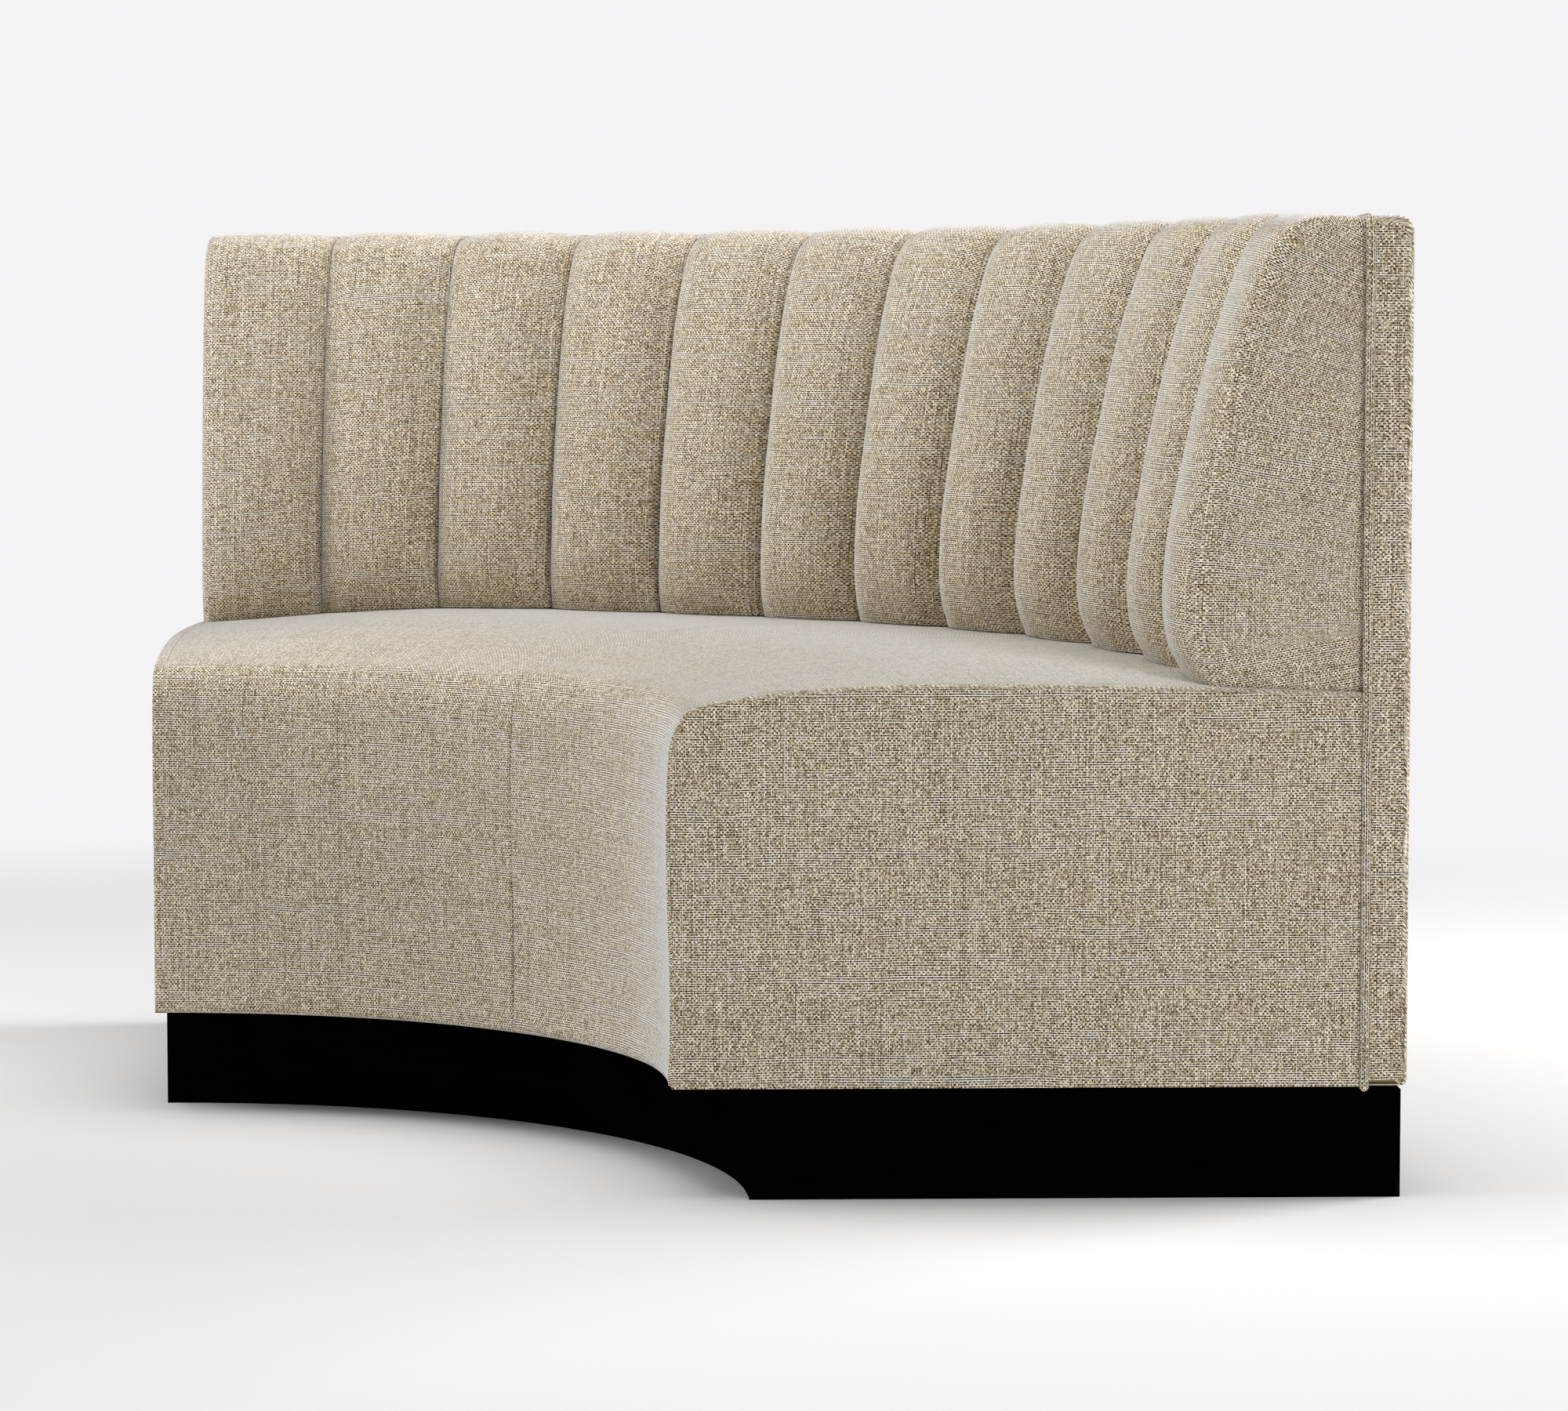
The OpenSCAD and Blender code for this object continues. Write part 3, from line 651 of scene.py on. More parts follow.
def spread(width, step):
    """Places across a width, close together beside both seams."""
    edge = SEAM_PLACES
    inner = np.linspace(edge[-1], width - edge[-1], max(3, round((width - 2 * edge[-1]) / step)))
    return np.array(edge[:-1] + list(inner) + [width - d for d in reversed(edge[:-1])])


def seam_draw(distance):
    """How far the cloth is drawn in at a distance from a seam."""
    return SEAM_DEEP * np.exp(-np.asarray(distance) / SEAM_FADE)


# How much of the middle seam's draw is left, from the seat's front over its roll to the rear
MIDDLE_LEFT = [1, 1, 1, 0.9, 0.75, 0.55, 0.4, 0.3, 0.2, 0.2, 0.2, 0.2]


def seat_cover(side, finish):
    """Half of the seat's cover, from its hem up the front and over the crown to the back. It
    wraps round the end, where it is sewn to the end panel, and meets the other half in a seam."""
    name = "right" if side > 0 else "left"
    reach_out = END_REAR - FRONT_R
    shift = SEAT_CUT[side]

    # Stations from the seam on the end's face, round the corner and along the arc to the middle
    stations = [(0, SEAT_SEAM - GAP, reach_out, SEAT_SEAM_DEEP)]
    for theta in np.radians(np.linspace(0, 90, 10)):
        sunk = SEAT_SEAM_DEEP * math.exp(-(GAP + SEAT_END_ROUND * math.sin(theta)) / SEAM_FADE)
        stations.append((SEAT_END_ROUND * (1 - math.cos(theta)), SEAT_END_ROUND * (1 - math.sin(theta)),
                         reach_out, sunk))
    stations.append((COVER_T, 0, reach_out, 0))
    stations.append((COVER_T + GAP, 0, SEAT_REACH, 0))
    wrap = len(stations)
    start = COVER_T + GAP
    length = FRONT_R * HALF_TURN - start - GAP / 2
    for d in spread(length, 9 * MM)[1:]:
        stations.append((start + d, 0, SEAT_REACH, 0))

    rows = 150
    rings, uvs = [], []
    cloth_u = wrapped_u = 0.0
    for number, (depth, inset, reach, sunk) in enumerate(stations):
        on_end = number < wrap
        share = 0 if on_end else (depth - start) / length
        # The angle of this station as seen from the middle, for the seat's crown
        angle = HALF_TURN - depth / FRONT_R if on_end else mix(HALF_TURN - start / FRONT_R, 0, share)
        angle = side * max(angle, 0.0)
        to_mid = 1.0 if on_end else (1 - share) * length
        draw = inset + MIDDLE_DEEP * math.exp(-to_mid / MIDDLE_FADE)
        plain, drawn = (np.array(seat_knots(angle, e, reach)) for e in (inset, draw))
        knots_at = [tuple(mix(p, q, left)) for p, q, left in zip(plain, drawn, MIDDLE_LEFT)]
        hem = [(FRONT_R + HEM_ROUND + draw * 0.5, HEM_Z),
               (FRONT_R + draw + HEM_ROUND * (1 - math.cos(math.pi / 4)),
                HEM_Z + HEM_ROUND * (1 - math.sin(math.pi / 4))),
               (FRONT_R + draw, HEM_Z + HEM_ROUND)]
        path = smooth_path(hem + knots_at, rows)
        thick = SEAT_SEAM if number < wrap - 1 else COVER_T
        foot = thick + HEM_ROUND if number < wrap - 1 else COVER_T
        lining = [(FRONT_R + foot, HEM_Z), (FRONT_R + thick, HEM_Z + HEM_ROUND)]
        rear = smooth_path(lining + seat_knots(angle, thick, reach), rows)
        ring2d = np.concatenate([path, rear[::-1]])
        r, z = ring2d[:, 0], ring2d[:, 1]
        if on_end:
            turn = HALF_TURN - np.arcsin((depth + sunk) / r)
        else:
            first = HALF_TURN - np.arcsin(start / r)
            last = np.arcsin(GAP / 2 / r)
            turn = mix(first, last, share)
        rings.append(on_arc(r, side * turn, z))
        if number:
            if on_end:
                cloth_u += math.hypot(depth - stations[number - 1][0], inset - stations[number - 1][1])
            else:
                cloth_u = wrapped_u + share * ((FRONT_R + SEAT_TRUE) * HALF_TURN - start)
        if number == wrap - 1:
            wrapped_u = cloth_u
        cloth_v = lengths(path)
        uvs.append(pairs(np.full(2 * rows + 1, cloth_u) + shift, there_and_back(cloth_v) + shift))
    piece = skin(f"seat_cover_{name}_sewn", rings, np.array(uvs))
    return dress(piece, finish, [f"seat_cover_{name}"])


def outline_inset(inset):
    """The outline of the seat's end, drawn in: up the front, over the top, down the rear."""
    reach = END_REAR - FRONT_R
    knots = np.array(seat_knots(HALF_TURN, inset, reach - (inset - SEAT_SEAM)))
    low = HEM_Z + inset - SEAT_SEAM
    knots[0, 1] = low + 0.12 * EDGE_H
    top = smooth_path(knots, 110)
    first, last = top[0], top[-1]
    front = [(first[0], mix(low, first[1], s)) for s in np.linspace(0, 1, 10)[:-1]]
    rear = [(last[0], mix(last[1], low, s)) for s in np.linspace(0, 1, 40)[1:]]
    bottom = [(mix(last[0], first[0], s), low) for s in np.linspace(0, 1, 60)[1:-1]]
    return np.array(front + list(top) + rear + bottom)


def seat_end_panel(side, finish):
    """The flat upholstered panel in the seat's end, sewn inside the cover's wrapped edge."""
    name = "right" if side > 0 else "left"
    profile = [(SEAT_SEAM, COVER_T)] + [(SEAT_SEAM + a * MM, b * MM) for a, b in SEAT_END_EDGE]
    rings, uvs = [], []
    shift = SEAT_END_CUT[side]
    for inset, depth in profile:
        outline = outline_inset(inset)
        r = np.sqrt(outline[:, 0] ** 2 - depth ** 2)
        turn = HALF_TURN - np.arcsin(depth / r)
        rings.append(on_arc(r, side * turn, outline[:, 1]))
        flat = np.concatenate([outline, outline[:1]])
        uvs.append(flat + shift)
    axis = Vector((0, AXIS_Y, 0))

    def flat_uv(point):
        return ((point.xy - axis.xy).length + shift, point.z + shift)

    piece = skin(f"seat_end_{name}_sewn", rings, np.array(uvs), flat_uv)
    return dress(piece, finish, [f"seat_end_cover_{name}"])


# The back's channels

ROWS = 130
CHANNEL_COLUMN = 6.5 * MM


def back_path(w, inset, angle):
    """A channel's path from the seat over the top to the welt, as ROWS points (r, z)."""
    crest, valley = np.array(CREST), np.array(VALLEY)
    middle = mix(valley, crest, 0.5)
    t = lengths(middle * [PAD_D, TOTAL_H - EDGE_H])
    shares = spline(t, mix(valley, crest, w), np.linspace(0, t[-1], ROWS))
    low = float(seam_z(angle))
    forward, up = shares[:, 0], shares[:, 1]
    r = WELT_AT - forward * PAD_D + inset * np.minimum(1, 2.5 * forward)
    high = np.clip(up, 0, 1) ** 4
    fading = np.interp(abs(angle), TOP_RISE_ENDS, (1, 0))
    rise = max(TOP_RISE_LEAST, TOP_RISE + TOP_RISE_TURN * angle) * fading
    rise = rise * np.minimum(1, np.abs(forward) / 0.3) ** 2
    z = low + up * (TOTAL_H + CHANNEL_RISE - low) + high * (rise - inset)
    return pairs(np.minimum(PAD_REAR, r), z)


def out_to_welt(path, run_on):
    """Draws a channel's rear edge out to where the welt stands further out beside the ends."""
    reach = (WELT_OUT + END_TUCK) * math.exp(-(run_on / WELT_SINK_RUN) ** 2)
    rear = np.clip((path[:, 0] - PAD_REAR) / REAR_EASE + 1, 0, 1)
    return pairs(path[:, 0] + reach * rear ** 2, path[:, 1])


def board_path(angle, rows):
    """The hidden rear of a channel: up the inner board and back over the rail."""
    low = float(seam_z(angle))
    turn_at = round(BOARD_SHARE * rows)
    up = [(board_r(z) - GAP, z) for z in np.linspace(low, RAIL_TOP + GAP, turn_at)]
    over = [(mix(up[-1][0], PAD_REAR, s), RAIL_TOP + GAP)
            for s in np.linspace(0, 1, rows - turn_at + 1)[1:]]
    return np.array(up + over)


def fullness(share, at_end):
    """How full a channel is at a share of its width from the end's side, from 0 to 1."""
    u = 2 * share - 1
    floor = np.where((u < 0) & at_end, 1 - END_FULL, 1.0)
    return 1 - floor * np.abs(u) ** CHANNEL_POWER


def channel_columns():
    """Stations across a channel: (share of its width, fullness, drawn in by the seams)."""
    width = CHANNEL_R * SEAM_STEP
    return [(d / width, float(fullness(d / width, False)), float(seam_draw(d) + seam_draw(width - d)))
            for d in spread(width, CHANNEL_COLUMN)]


def back_channel(number, finish):
    """One stuffed channel between two seams. Number 1 is at the right end, the last at the left."""
    side = 1 if number <= CHANNELS // 2 else -1
    nth = number if side > 0 else CHANNELS + 1 - number
    step = SEAM_STEP
    outer = SEAM_TURN - (nth - 1) * step
    rings, uvs = [], []
    shift_u, shift_v = (number * cut for cut in CHANNEL_CUT)
    for share, w, draw in channel_columns():
        angle = outer - share * step
        path = back_path(w, draw, side * angle)
        rear = board_path(side * angle, ROWS)
        ring = np.concatenate([path, rear[::-1]])
        r, z = ring[:, 0], ring[:, 1]
        first = outer - np.arcsin(GAP / 2 / r)
        last = outer - step + np.arcsin(GAP / 2 / r)
        swell = SWELL * ripple(share * SWELL_ACROSS + number, z, SWELL_LONG, number) * w
        puff = PUFF * ripple(share * SWELL_ACROSS, z, PUFF_LONG, number + 40) * (1 - w)
        r = r - np.where(np.arange(len(r)) < ROWS, swell + puff, 0)
        rings.append(on_arc(r, side * mix(first, last, share), z))
        v = CHANNEL_CLOTH * lengths(back_path(0.6, 0, side * angle))
        radius = np.concatenate([path[:, 0], rear[::-1, 0], path[:1, 0]])
        u = radius * (0.5 - share) * step
        uvs.append(pairs(u + shift_u, there_and_back(v) + shift_v))
    piece = skin(f"channel_{number}_stuffed", rings, np.array(uvs))
    return dress(piece, finish, [f"back_channel_{number}"])


def end_channel(side, finish):
    """The outermost channel, whose cloth wraps round the corner onto the back's end."""
    number = 1 if side > 0 else CHANNELS
    name = "right" if side > 0 else "left"
    step = SEAM_STEP
    inner = SEAM_TURN - step
    width = CHANNEL_R * step - BACK_END_ROUND
    angle_end = side * HALF_TURN
    low_rear = float(seat_top(SEAT_LEN, angle_end)) + 2 * GAP
    shift_u, shift_v = (number * cut for cut in CHANNEL_CUT)
    v_line = CHANNEL_CLOTH * lengths(back_path(0.6, 0, angle_end))
    face_shares = np.concatenate([[0, 0.006, 0.015, 0.03], np.linspace(0.06, 1, 22)])
    anchor = np.linspace(0, 1, ROWS)
    rings, uvs = [], []

    def add_ring(front_r, front_z, turn_front, rear_r, rear_z, turn_rear, u, v):
        ring_r = np.concatenate([front_r, rear_r[::-1]])
        ring_z = np.concatenate([front_z, rear_z[::-1]])
        ring_t = np.concatenate([turn_front, turn_rear[::-1]])
        rings.append(on_arc(ring_r, side * ring_t, ring_z))
        uvs.append(pairs(there_and_back(u) + shift_u, there_and_back(v) + shift_v))

    # The end's face, from beside the welt forward to where the corner starts to round
    edge = out_to_welt(back_path(END_FULL, BACK_END_ROUND, angle_end), 0)
    rear_z = mix(low_rear, edge[-1, 1] - 2 * MM, anchor)
    closing = np.interp(rear_z, (TOTAL_H - END_TOP_FROM, TOTAL_H - END_TOP_FULL), (0, END_TOP_TUCK))
    rear_line = pairs(END_REAR + END_TUCK + closing, rear_z)
    board = board_path(angle_end, ROWS)

    # The cloth's rows leave the front edge square to it
    front = edge[edge[:, 1] < TOTAL_H - 20 * MM]
    fall = np.clip(np.gradient(front[:, 0], front[:, 1]), *END_ROWS_FALL)
    heights = np.concatenate([[front[0, 1] - 1], front[:, 1], [front[-1, 1] + 1]])
    runs = np.concatenate([[v_line[0] - 1], v_line[:len(front)], [v_line[len(front) - 1] + 1]])

    def end_cloth(r, z):
        """The cloth's place at a point, from the foot of its row on the front edge."""
        foot = z
        for _ in range(12):
            out = r - np.interp(foot, front[:, 1], front[:, 0])
            foot = z + np.interp(foot, front[:, 1], fall) * out
        away = np.hypot(r - np.interp(foot, front[:, 1], front[:, 0]), z - foot)
        return -END_CLOTH * away - BACK_END_ROUND * math.pi / 2, np.interp(foot, heights, runs)

    for share in face_shares:
        points = mix(rear_line, edge, share)
        r, z = points[:, 0], points[:, 1]
        sunk = mix(BACK_END_INSET - BACK_END_RISE, BACK_END_INSET, share ** 0.5)
        sunk = sunk - BACK_END_SWELL * math.sin(math.pi * share)
        sunk = sunk + END_GROOVE * math.exp(-share * END_FACE_LEN / END_GROOVE_FADE)
        sunk = sunk + END_FOOT_DEEP * np.exp(-(z - low_rear) / END_FOOT_FADE) * (1 - share ** 3)
        turn = HALF_TURN - np.arcsin(sunk / r)
        back_r = np.maximum(np.minimum(r, END_REAR), board[:, 0])
        turn_back = HALF_TURN - np.arcsin(COVER_T / back_r)
        add_ring(r, z, turn, back_r, np.minimum(z, RAIL_TOP + GAP), turn_back, *end_cloth(r, z))

    # The rounded corner, then across the channel to its seam
    for theta in np.radians(np.linspace(0, 90, 10)):
        d = BACK_END_INSET + BACK_END_ROUND * (1 - math.cos(theta))
        e = BACK_END_ROUND * (1 - math.sin(theta))
        share = (d - BACK_END_INSET) / (width + BACK_END_ROUND)
        path = out_to_welt(back_path(float(fullness(share, True)), e, angle_end), 0)
        turn = HALF_TURN - np.arcsin(d / path[:, 0])
        turn_back = HALF_TURN - np.arcsin((COVER_T + GAP) / board[:, 0])
        u = np.full(ROWS, -(math.pi / 2 - theta) * BACK_END_ROUND)
        add_ring(path[:, 0], path[:, 1], turn, board[:, 0], board[:, 1], turn_back, u, v_line)
    for d in spread(width, CHANNEL_COLUMN)[1:]:
        share = (d + BACK_END_ROUND) / (width + BACK_END_ROUND)
        angle = SEAM_TURN - share * step
        w = float(fullness(share, True))
        path = out_to_welt(back_path(w, float(seam_draw(width - d)), side * angle), d)
        rear = board_path(side * angle, ROWS)
        along = d / width
        first = HALF_TURN - np.arcsin((BACK_END_INSET + BACK_END_ROUND) / path[:, 0])
        turn = mix(first, inner + np.arcsin(GAP / 2 / path[:, 0]), along)
        first_back = HALF_TURN - np.arcsin((COVER_T + GAP) / rear[:, 0])
        turn_back = mix(first_back, inner + np.arcsin(GAP / 2 / rear[:, 0]), along)
        swell = SWELL * ripple(share * SWELL_ACROSS + number, path[:, 1], SWELL_LONG, number)
        swell = swell * w * min(1, 4 * along)
        u = along * (path[:, 0] * step - BACK_END_ROUND)
        add_ring(path[:, 0] - swell, path[:, 1], turn, rear[:, 0], rear[:, 1], turn_back, u, v_line)
    piece = skin(f"channel_{number}_and_end_stuffed", rings, np.array(uvs))
    return dress(piece, finish,
                 [f"back_channel_{number}", f"back_end_cover_{name}"])


# The outer back and its welt

def outer_back(finish):
    """The padded outer back, which wraps round both ends up to the welt."""
    inside = BACK_R - OUTER_T
    arc_len = BACK_R * 2 * HALF_TURN

    def path(inset, dip):
        out, low, top = BACK_R - inset, HEM_Z + inset, TOTAL_H - inset - dip
        points = []
        for phi in np.radians(np.linspace(0, 90, 7)):
            points.append((out - HEM_ROUND * (1 - math.sin(phi)),
                           low + HEM_ROUND * (1 - math.cos(phi))))
        for s in np.linspace(0, 1, 60)[1:]:
            points.append((out, mix(low + HEM_ROUND, top - OUTER_ROUND, s)))
        for phi in np.radians(np.linspace(0, 90, 12))[1:]:
            points.append((out - OUTER_ROUND * (1 - math.cos(phi)),
                           top - OUTER_ROUND * (1 - math.sin(phi))))
        for s in np.linspace(0, 1, 6)[1:]:
            points.append((mix(out - OUTER_ROUND, inside + HEM_ROUND, s), top))
        for phi in np.radians(np.linspace(0, 90, 6))[1:]:
            points.append((inside + HEM_ROUND * (1 - math.sin(phi)),
                           top - HEM_ROUND * (1 - math.cos(phi))))
        return np.array(points)

    def lining(inset, dip, at_end, count):
        wall = inside + (OUTER_WRAP_T if at_end else OUTER_T - COVER_T)
        low, top = HEM_Z + inset, TOTAL_H - inset - dip - 2 * HEM_ROUND
        if not at_end:
            top = TOTAL_H - 20 * MM + GAP
        edge = [(wall, mix(low, top, s)) for s in np.linspace(0, 1, count - 8)]
        over = [(mix(wall, inside, s), top) for s in np.linspace(0, 1, 9)[1:]]
        return np.array(edge + over)

    # Stations from one end's face round the corner, along the arc and to the other end
    near = [(HEM_ROUND * (1 - math.cos(t)), HEM_ROUND * (1 - math.sin(t)), True)
            for t in np.radians(np.linspace(0, 90, 7))]
    near += [(COVER_T - GAP, 0, True), (COVER_T, 0, False)]
    steps = np.linspace(0, 1, 150)[1:-1] * (arc_len - 2 * COVER_T) + COVER_T
    stations = near + [(d, 0, False) for d in steps]
    stations += [(arc_len - d - (OUTER_LEFT_IN if d <= HEM_ROUND else 0), e, flag)
                 for d, e, flag in reversed(near)]
    rings, uvs = [], []
    for depth, inset, at_end in stations:
        dip = OUTER_LEFT_DIP * math.exp(-((arc_len - depth) / OUTER_LEFT_RUN) ** 2)
        front = path(inset, dip)
        rear = lining(inset, dip, at_end, len(front))
        ring = np.concatenate([front, rear[::-1]])
        share = depth / arc_len
        r, z = ring[:, 0], ring[:, 1]
        if inset == 0 and not at_end:
            swell = OUTER_SWELL * ripple(depth, z, OUTER_SWELL_LONG, 77)
            r = r + np.where(np.arange(len(r)) < len(front), swell, 0)
        rings.append(on_arc(r, HALF_TURN - share * 2 * HALF_TURN, z))
        v = lengths(front)
        uvs.append(pairs(np.full(len(ring) + 1, OUTER_CLOTH * (depth - OUTER_T) + OUTER_CUT),
                         there_and_back(v)))
    axis = Vector((0, AXIS_Y, 0))

    def band_uv(point):
        return (OUTER_CUT - OUTER_CLOTH * (BACK_R + OUTER_T - (point.xy - axis.xy).length),
                point.z - HEM_Z)

    piece = skin("outer_back_wrapped", rings, np.array(uvs), band_uv)
    return dress(piece, finish, ["outer_back_pad"])


def welt(finish):
    """The cloth-covered cord up one end, along the top and down the other."""
    sides = 20
    bend = 3 * WELT_R
    top = TOTAL_H + WELT_RISE - WELT_R
    low = HEM_Z - WELT_R
    out = WELT_R - WELT_PROUD
    arc_len = WELT_AT * 2 * HALF_TURN
    line = []
    # Each point: how far in from the end, height, way, size, and how much it belongs to the end
    for t in np.radians(np.linspace(8, 90, 8)):
        line.append((out, low + WELT_R * (1 - math.cos(t)), 90, math.sin(t), 1))
    for z in np.linspace(low + WELT_R, top - bend, 130)[1:]:
        line.append((out, z, 90, 1, 1))
    for t in np.linspace(0, 90, 10)[1:]:
        rad = math.radians(t)
        line.append((out + bend * (1 - math.cos(rad)), top - bend * (1 - math.sin(rad)), 90 - t, 1, 1))
    # Along the top to the middle, with the points closer together beside the end
    for s in np.linspace(0, 0.5, 90)[1:] ** 1.3 * 0.5 ** -0.3:
        run_on = s * (arc_len - 2 * (out + bend))
        ending = math.exp(-(run_on / WELT_SINK_RUN) ** 2)
        line.append((out + bend + run_on, top - WELT_SINK * (1 - ending), 0, 1, ending))
    line += [(arc_len - d - WELT_LEFT_TUCK * ending, z - WELT_LEFT_SINK * ending * (z / top) ** 6,
              -way, size, ending) for d, z, way, size, ending in reversed(line[:-1])]
    rings, uvs = [], []
    run = lengths([point[:2] for point in line])
    for (d, z, way, size, ending), s in zip(line, run):
        ring = []
        for k in range(sides):
            phi = 2 * math.pi * k / sides
            radius = size * WELT_R * (1 + 0.015 * math.sin(s * 260))
            across = radius * math.sin(phi)
            turn = HALF_TURN - (d - across * math.sin(math.radians(way))) / WELT_AT
            ring.append(on_arc(WELT_AT + WELT_OUT * ending + radius * math.cos(phi), turn,
                               z + across * math.cos(math.radians(way))))
        rings.append(ring)
        uvs.append([(s + WELT_CUT[0], WELT_R * 2 * math.pi * k / sides + WELT_CUT[1])
                    for k in range(sides + 1)])
    piece = skin("welt_corded", rings, np.array(uvs))
    return dress(piece, finish, ["welt"])


# The stitches

STITCH_SIZES = {"Spacing": STITCH_STEP, "Stitch length": STITCH_LONG, "Thread radius": STITCH_R}


def stitch_tree(finish):
    """Short threads set along a seam's line. Returns the tree and its inputs' identifiers."""
    tree = bpy.data.node_groups.new("seam_stitching", "GeometryNodeTree")
    tree.interface.new_socket("Seam", in_out="INPUT", socket_type="NodeSocketGeometry")
    sizes = {}
    for label, value in STITCH_SIZES.items():
        socket = tree.interface.new_socket(label, in_out="INPUT", socket_type="NodeSocketFloat")
        socket.default_value = value
        sizes[label] = socket.identifier
    tree.interface.new_socket("Stitches", in_out="OUTPUT", socket_type="NodeSocketGeometry")

    def node(kind, settings=(), sockets=()):
        made = tree.nodes.new(kind)
        for key, value in dict(settings).items():
            setattr(made, key, value)
        for key, value in dict(sockets).items():
            if isinstance(value, bpy.types.NodeSocket):
                tree.links.new(value, made.inputs[key])
            else:
                made.inputs[key].default_value = value
        return made.outputs[0]

    given = tree.nodes.new("NodeGroupInput").outputs
    line = node("GeometryNodeMeshToCurve", {}, {"Mesh": given["Seam"]})
    points = node("GeometryNodeResampleCurve", {"mode": "LENGTH"},
                  {"Curve": line, "Length": given["Spacing"]})
    along = node("GeometryNodeInputTangent")
    turn = node("FunctionNodeAlignRotationToVector", {"axis": "Z"}, {"Vector": along})
    uneven = node("FunctionNodeRandomValue", {"data_type": "FLOAT"}, {2: 0.42, 3: 0.56, 8: 3})
    uneven = next(s for s in uneven.node.outputs if s.enabled)
    half = node("ShaderNodeMath", {"operation": "MULTIPLY"}, {0: given["Stitch length"], 1: uneven})
    size = node("ShaderNodeCombineXYZ", {},
                {"X": given["Thread radius"], "Y": given["Thread radius"], "Z": half})
    thread = node("GeometryNodeMeshUVSphere", {}, {"Segments": 6, "Rings": 5, "Radius": 1.0})
    sewn = node("GeometryNodeInstanceOnPoints", {},
                {"Points": points, "Instance": thread, "Rotation": turn, "Scale": size})
    solid = node("GeometryNodeRealizeInstances", {}, {"Geometry": sewn})
    dressed = node("GeometryNodeSetMaterial", {}, {"Geometry": solid, "Material": finish})
    out = tree.nodes.new("NodeGroupOutput")
    tree.links.new(dressed, out.inputs["Stitches"])
    return tree, sizes


def stitches(name, line, tree, sizes):
    """The stitches along one seam, whose line is given as points."""
    data = bpy.data.meshes.new(name + "_line")
    data.from_pydata([tuple(p) for p in line], [(i, i + 1) for i in range(len(line) - 1)], [])
    guide = bpy.data.objects.new(name + "_line", data)
    bpy.context.scene.collection.objects.link(guide)
    modifier = guide.modifiers.new("stitching", "NODES")
    modifier.node_group = tree
    for label, value in STITCH_SIZES.items():
        modifier[sizes[label]] = value
    evaluated = guide.evaluated_get(bpy.context.evaluated_depsgraph_get())
    mesh = bpy.data.meshes.new_from_object(evaluated)
    guide.modifiers.remove(modifier)
    bpy.data.objects.remove(guide)
    mesh.name = name
    mesh.shade_smooth()
    piece = bpy.data.objects.new(name, mesh)
    bpy.context.scene.collection.objects.link(piece)
    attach(piece, "root")
    return piece


def seam_stitches(finish):
    """The stitches down the seat's middle seam and along the welt."""
    tree, sizes = stitch_tree(finish)
    path = smooth_path(seat_knots(0, STITCH_SUNK, SEAT_REACH)[:5], 240)
    stitches("middle_seam_stitches", on_arc(path[:, 0], 0, path[:, 1]), tree, sizes)
    line = []
    top = TOTAL_H + WELT_RISE - WELT_R
    out = WELT_R - WELT_PROUD
    r = WELT_AT + WELT_OUT + WELT_R * math.cos(WELT_STITCH_TURN)
    for z in np.linspace(HEM_Z + 2 * WELT_R, top - 3.6 * WELT_R, 160):
        line.append(((out - WELT_R * math.sin(WELT_STITCH_TURN)) / WELT_AT, z))
    for side, name in ((1, "right"), (-1, "left")):
        tuck, sink = (0, 0) if side > 0 else (WELT_LEFT_TUCK / WELT_AT, WELT_LEFT_SINK)
        points = [on_arc(r, side * (HALF_TURN - b - tuck), z - sink * (z / top) ** 6) for b, z in line]
        stitches(f"welt_stitches_{name}", points, tree, sizes)


def foam_block(finish):
    """The seat's foam on its deck, inside the covers."""
    rings, uvs = [], []
    inset = COVER_T + GAP
    rows = 40
    for share in np.linspace(0, 1, 60):
        angle = mix(HALF_TURN, -HALF_TURN, share)
        top = smooth_path(seat_knots(angle, inset, SEAT_REACH)[2:], rows)
        under = pairs(top[:, 0], np.full(rows, DECK_H + GAP))
        ring = np.concatenate([top, under[::-1]])
        r, z = ring[:, 0], ring[:, 1]
        turn = mix(HALF_TURN - np.arcsin(inset / r), -HALF_TURN + np.arcsin(inset / r), share)
        rings.append(on_arc(r, turn, z))
        uvs.append(pairs(np.full(2 * rows + 1, share), np.linspace(0, 1, 2 * rows + 1)))
    piece = skin("seat_foam_block", rings, np.array(uvs))
    return dress(piece, finish, ["seat_foam"])


# The floor, the light and the camera

BACKGROUND = (0.905, 0.895, 0.91, 1)


def stage():
    """A plain pale floor that runs out into an even background."""
    f = Finish("studio_floor")
    place = f.place()
    far = f.add("ShaderNodeVectorMath", {"operation": "LENGTH"}, {0: place}, outs=("Value",))[0]
    cloud = f.noise(place, scale=1.3)
    tone = f.ramp(cloud, [(0.3, (0.785, 0.783, 0.79, 1)), (0.7, (0.795, 0.793, 0.8, 1))])
    soft = f.add("ShaderNodeBsdfDiffuse", {}, {"Color": tone})
    glow = f.add("ShaderNodeEmission", {}, {"Color": BACKGROUND, "Strength": 1.0})
    shader = f.add("ShaderNodeMixShader", {}, {0: far.between(1.4, 3.0), 1: soft, 2: glow})
    f.add("ShaderNodeOutputMaterial", {}, {"Surface": shader})
    mesh = bmesh.new()
    bmesh.ops.create_circle(mesh, cap_ends=True, segments=96, radius=14)
    floor = mesh_object("studio_floor", mesh)
    floor.data.materials.append(f.material)


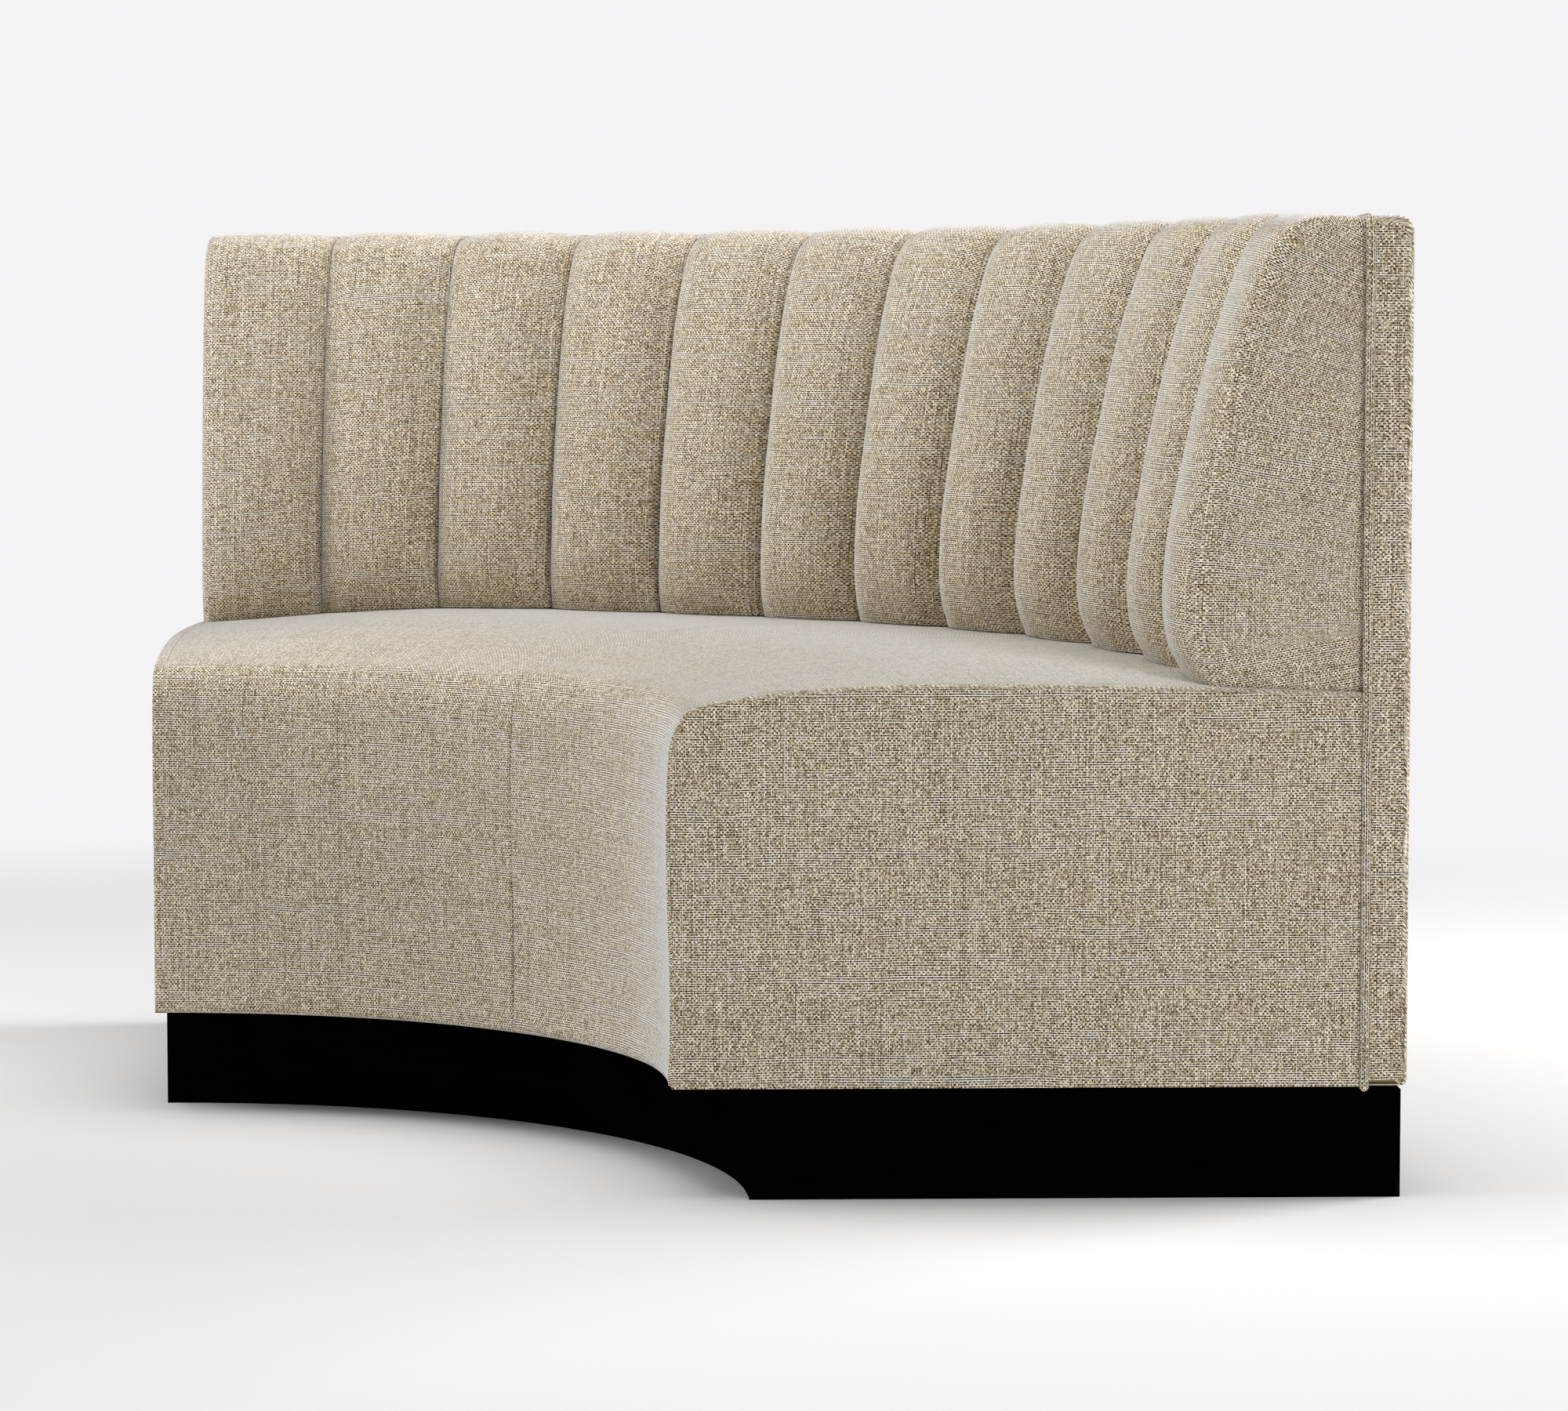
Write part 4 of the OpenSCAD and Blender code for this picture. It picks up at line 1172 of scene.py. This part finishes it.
def sky():
    """An even pale background that adds only a faint light of its own."""
    world = bpy.data.worlds.new("studio")
    bpy.context.scene.world = world
    world.use_nodes = True
    tree = world.node_tree
    tree.nodes.clear()
    path = tree.nodes.new("ShaderNodeLightPath")
    seen = tree.nodes.new("ShaderNodeBackground")
    seen.inputs["Color"].default_value = BACKGROUND
    lit = tree.nodes.new("ShaderNodeBackground")
    lit.inputs["Color"].default_value = (0.97, 0.985, 1.0, 1)
    lit.inputs["Strength"].default_value = 0.03
    both = tree.nodes.new("ShaderNodeMixShader")
    tree.links.new(path.outputs["Is Camera Ray"], both.inputs[0])
    tree.links.new(lit.outputs[0], both.inputs[1])
    tree.links.new(seen.outputs[0], both.inputs[2])
    out = tree.nodes.new("ShaderNodeOutputWorld")
    tree.links.new(both.outputs[0], out.inputs["Surface"])


def lamp(name, place, size, power):
    """A soft square lamp that points at the middle of the bench."""
    light = bpy.data.lights.new(name, "AREA")
    light.shape = "SQUARE"
    light.size = size
    light.energy = power
    lamp_object = bpy.data.objects.new(name, light)
    aim = Vector((0, 0, 0.45)) - Vector(place)
    turned = aim.to_track_quat("-Z", "Y").to_matrix().to_4x4()
    lamp_object.matrix_world = Matrix.Translation(place) @ turned
    bpy.context.scene.collection.objects.link(lamp_object)


def camera():
    """The camera at the photograph's place, turned and tilted towards the bench."""
    data = bpy.data.cameras.new("photo_view")
    data.lens = 114.35
    data.sensor_width = 36
    data.clip_end = 60
    eye = bpy.data.objects.new("photo_view", data)
    eye.location = (3.6028, -3.6809, 0.8155)
    eye.rotation_euler = (math.radians(90 - 4.395), 0, math.radians(43.4))
    bpy.context.scene.collection.objects.link(eye)
    bpy.context.scene.camera = eye


camera()
stage()
sky()
lamp("left_softbox", (-3.4, -2.9, 2.6), 2.6, 46)
lamp("low_left_softbox", (-3.6, -3.2, 1.1), 2.0, 26)
lamp("far_right_softbox", (2.2, 3.4, 2.4), 2.4, 185)
lamp("low_right_softbox", (5.2, -1.6, 0.95), 1.8, 72)
lamp("top_softbox", (0.2, -0.2, 3.8), 3.2, 82)
lamp("top_left_softbox", (-1.8, -1.6, 3.6), 2.6, 56)
lamp("top_front_softbox", (1.6, -1.8, 3.8), 2.6, 8)
bpy.context.scene.view_settings.view_transform = "Standard"

cloth = woven_cloth()
plinth_black = plinth_finish()
birch = plywood_finish("birch_plywood", (222, 190, 142), 1.5 * MM)
timber = plywood_finish("rib_plywood", (212, 178, 128), 2.0 * MM)
zinc = zinc_finish()
foam = foam_finish()

# Parts with the plinth_black slot include the panel under the seat, whose black is painted shade under
# the covers' hem
by_slot = {"plinth_black": plinth_black, "birch_plywood": birch, "rib_plywood": timber,
           "zinc_screws": zinc}
for part in frame["record"]["subparts"]:
    if part["material_slot"] in by_slot:
        node = frame["nodes"][part["node"]]
        node.data.materials.clear()
        node.data.materials.append(by_slot[part["material_slot"]])

for side in (1, -1):
    seat_cover(side, cloth)
    seat_end_panel(side, cloth)
    end_channel(side, cloth)
for number in range(2, CHANNELS):
    back_channel(number, cloth)
outer_back(cloth)
welt(cloth)
foam_block(foam)
seam_stitches(thread_and_shade_finish())
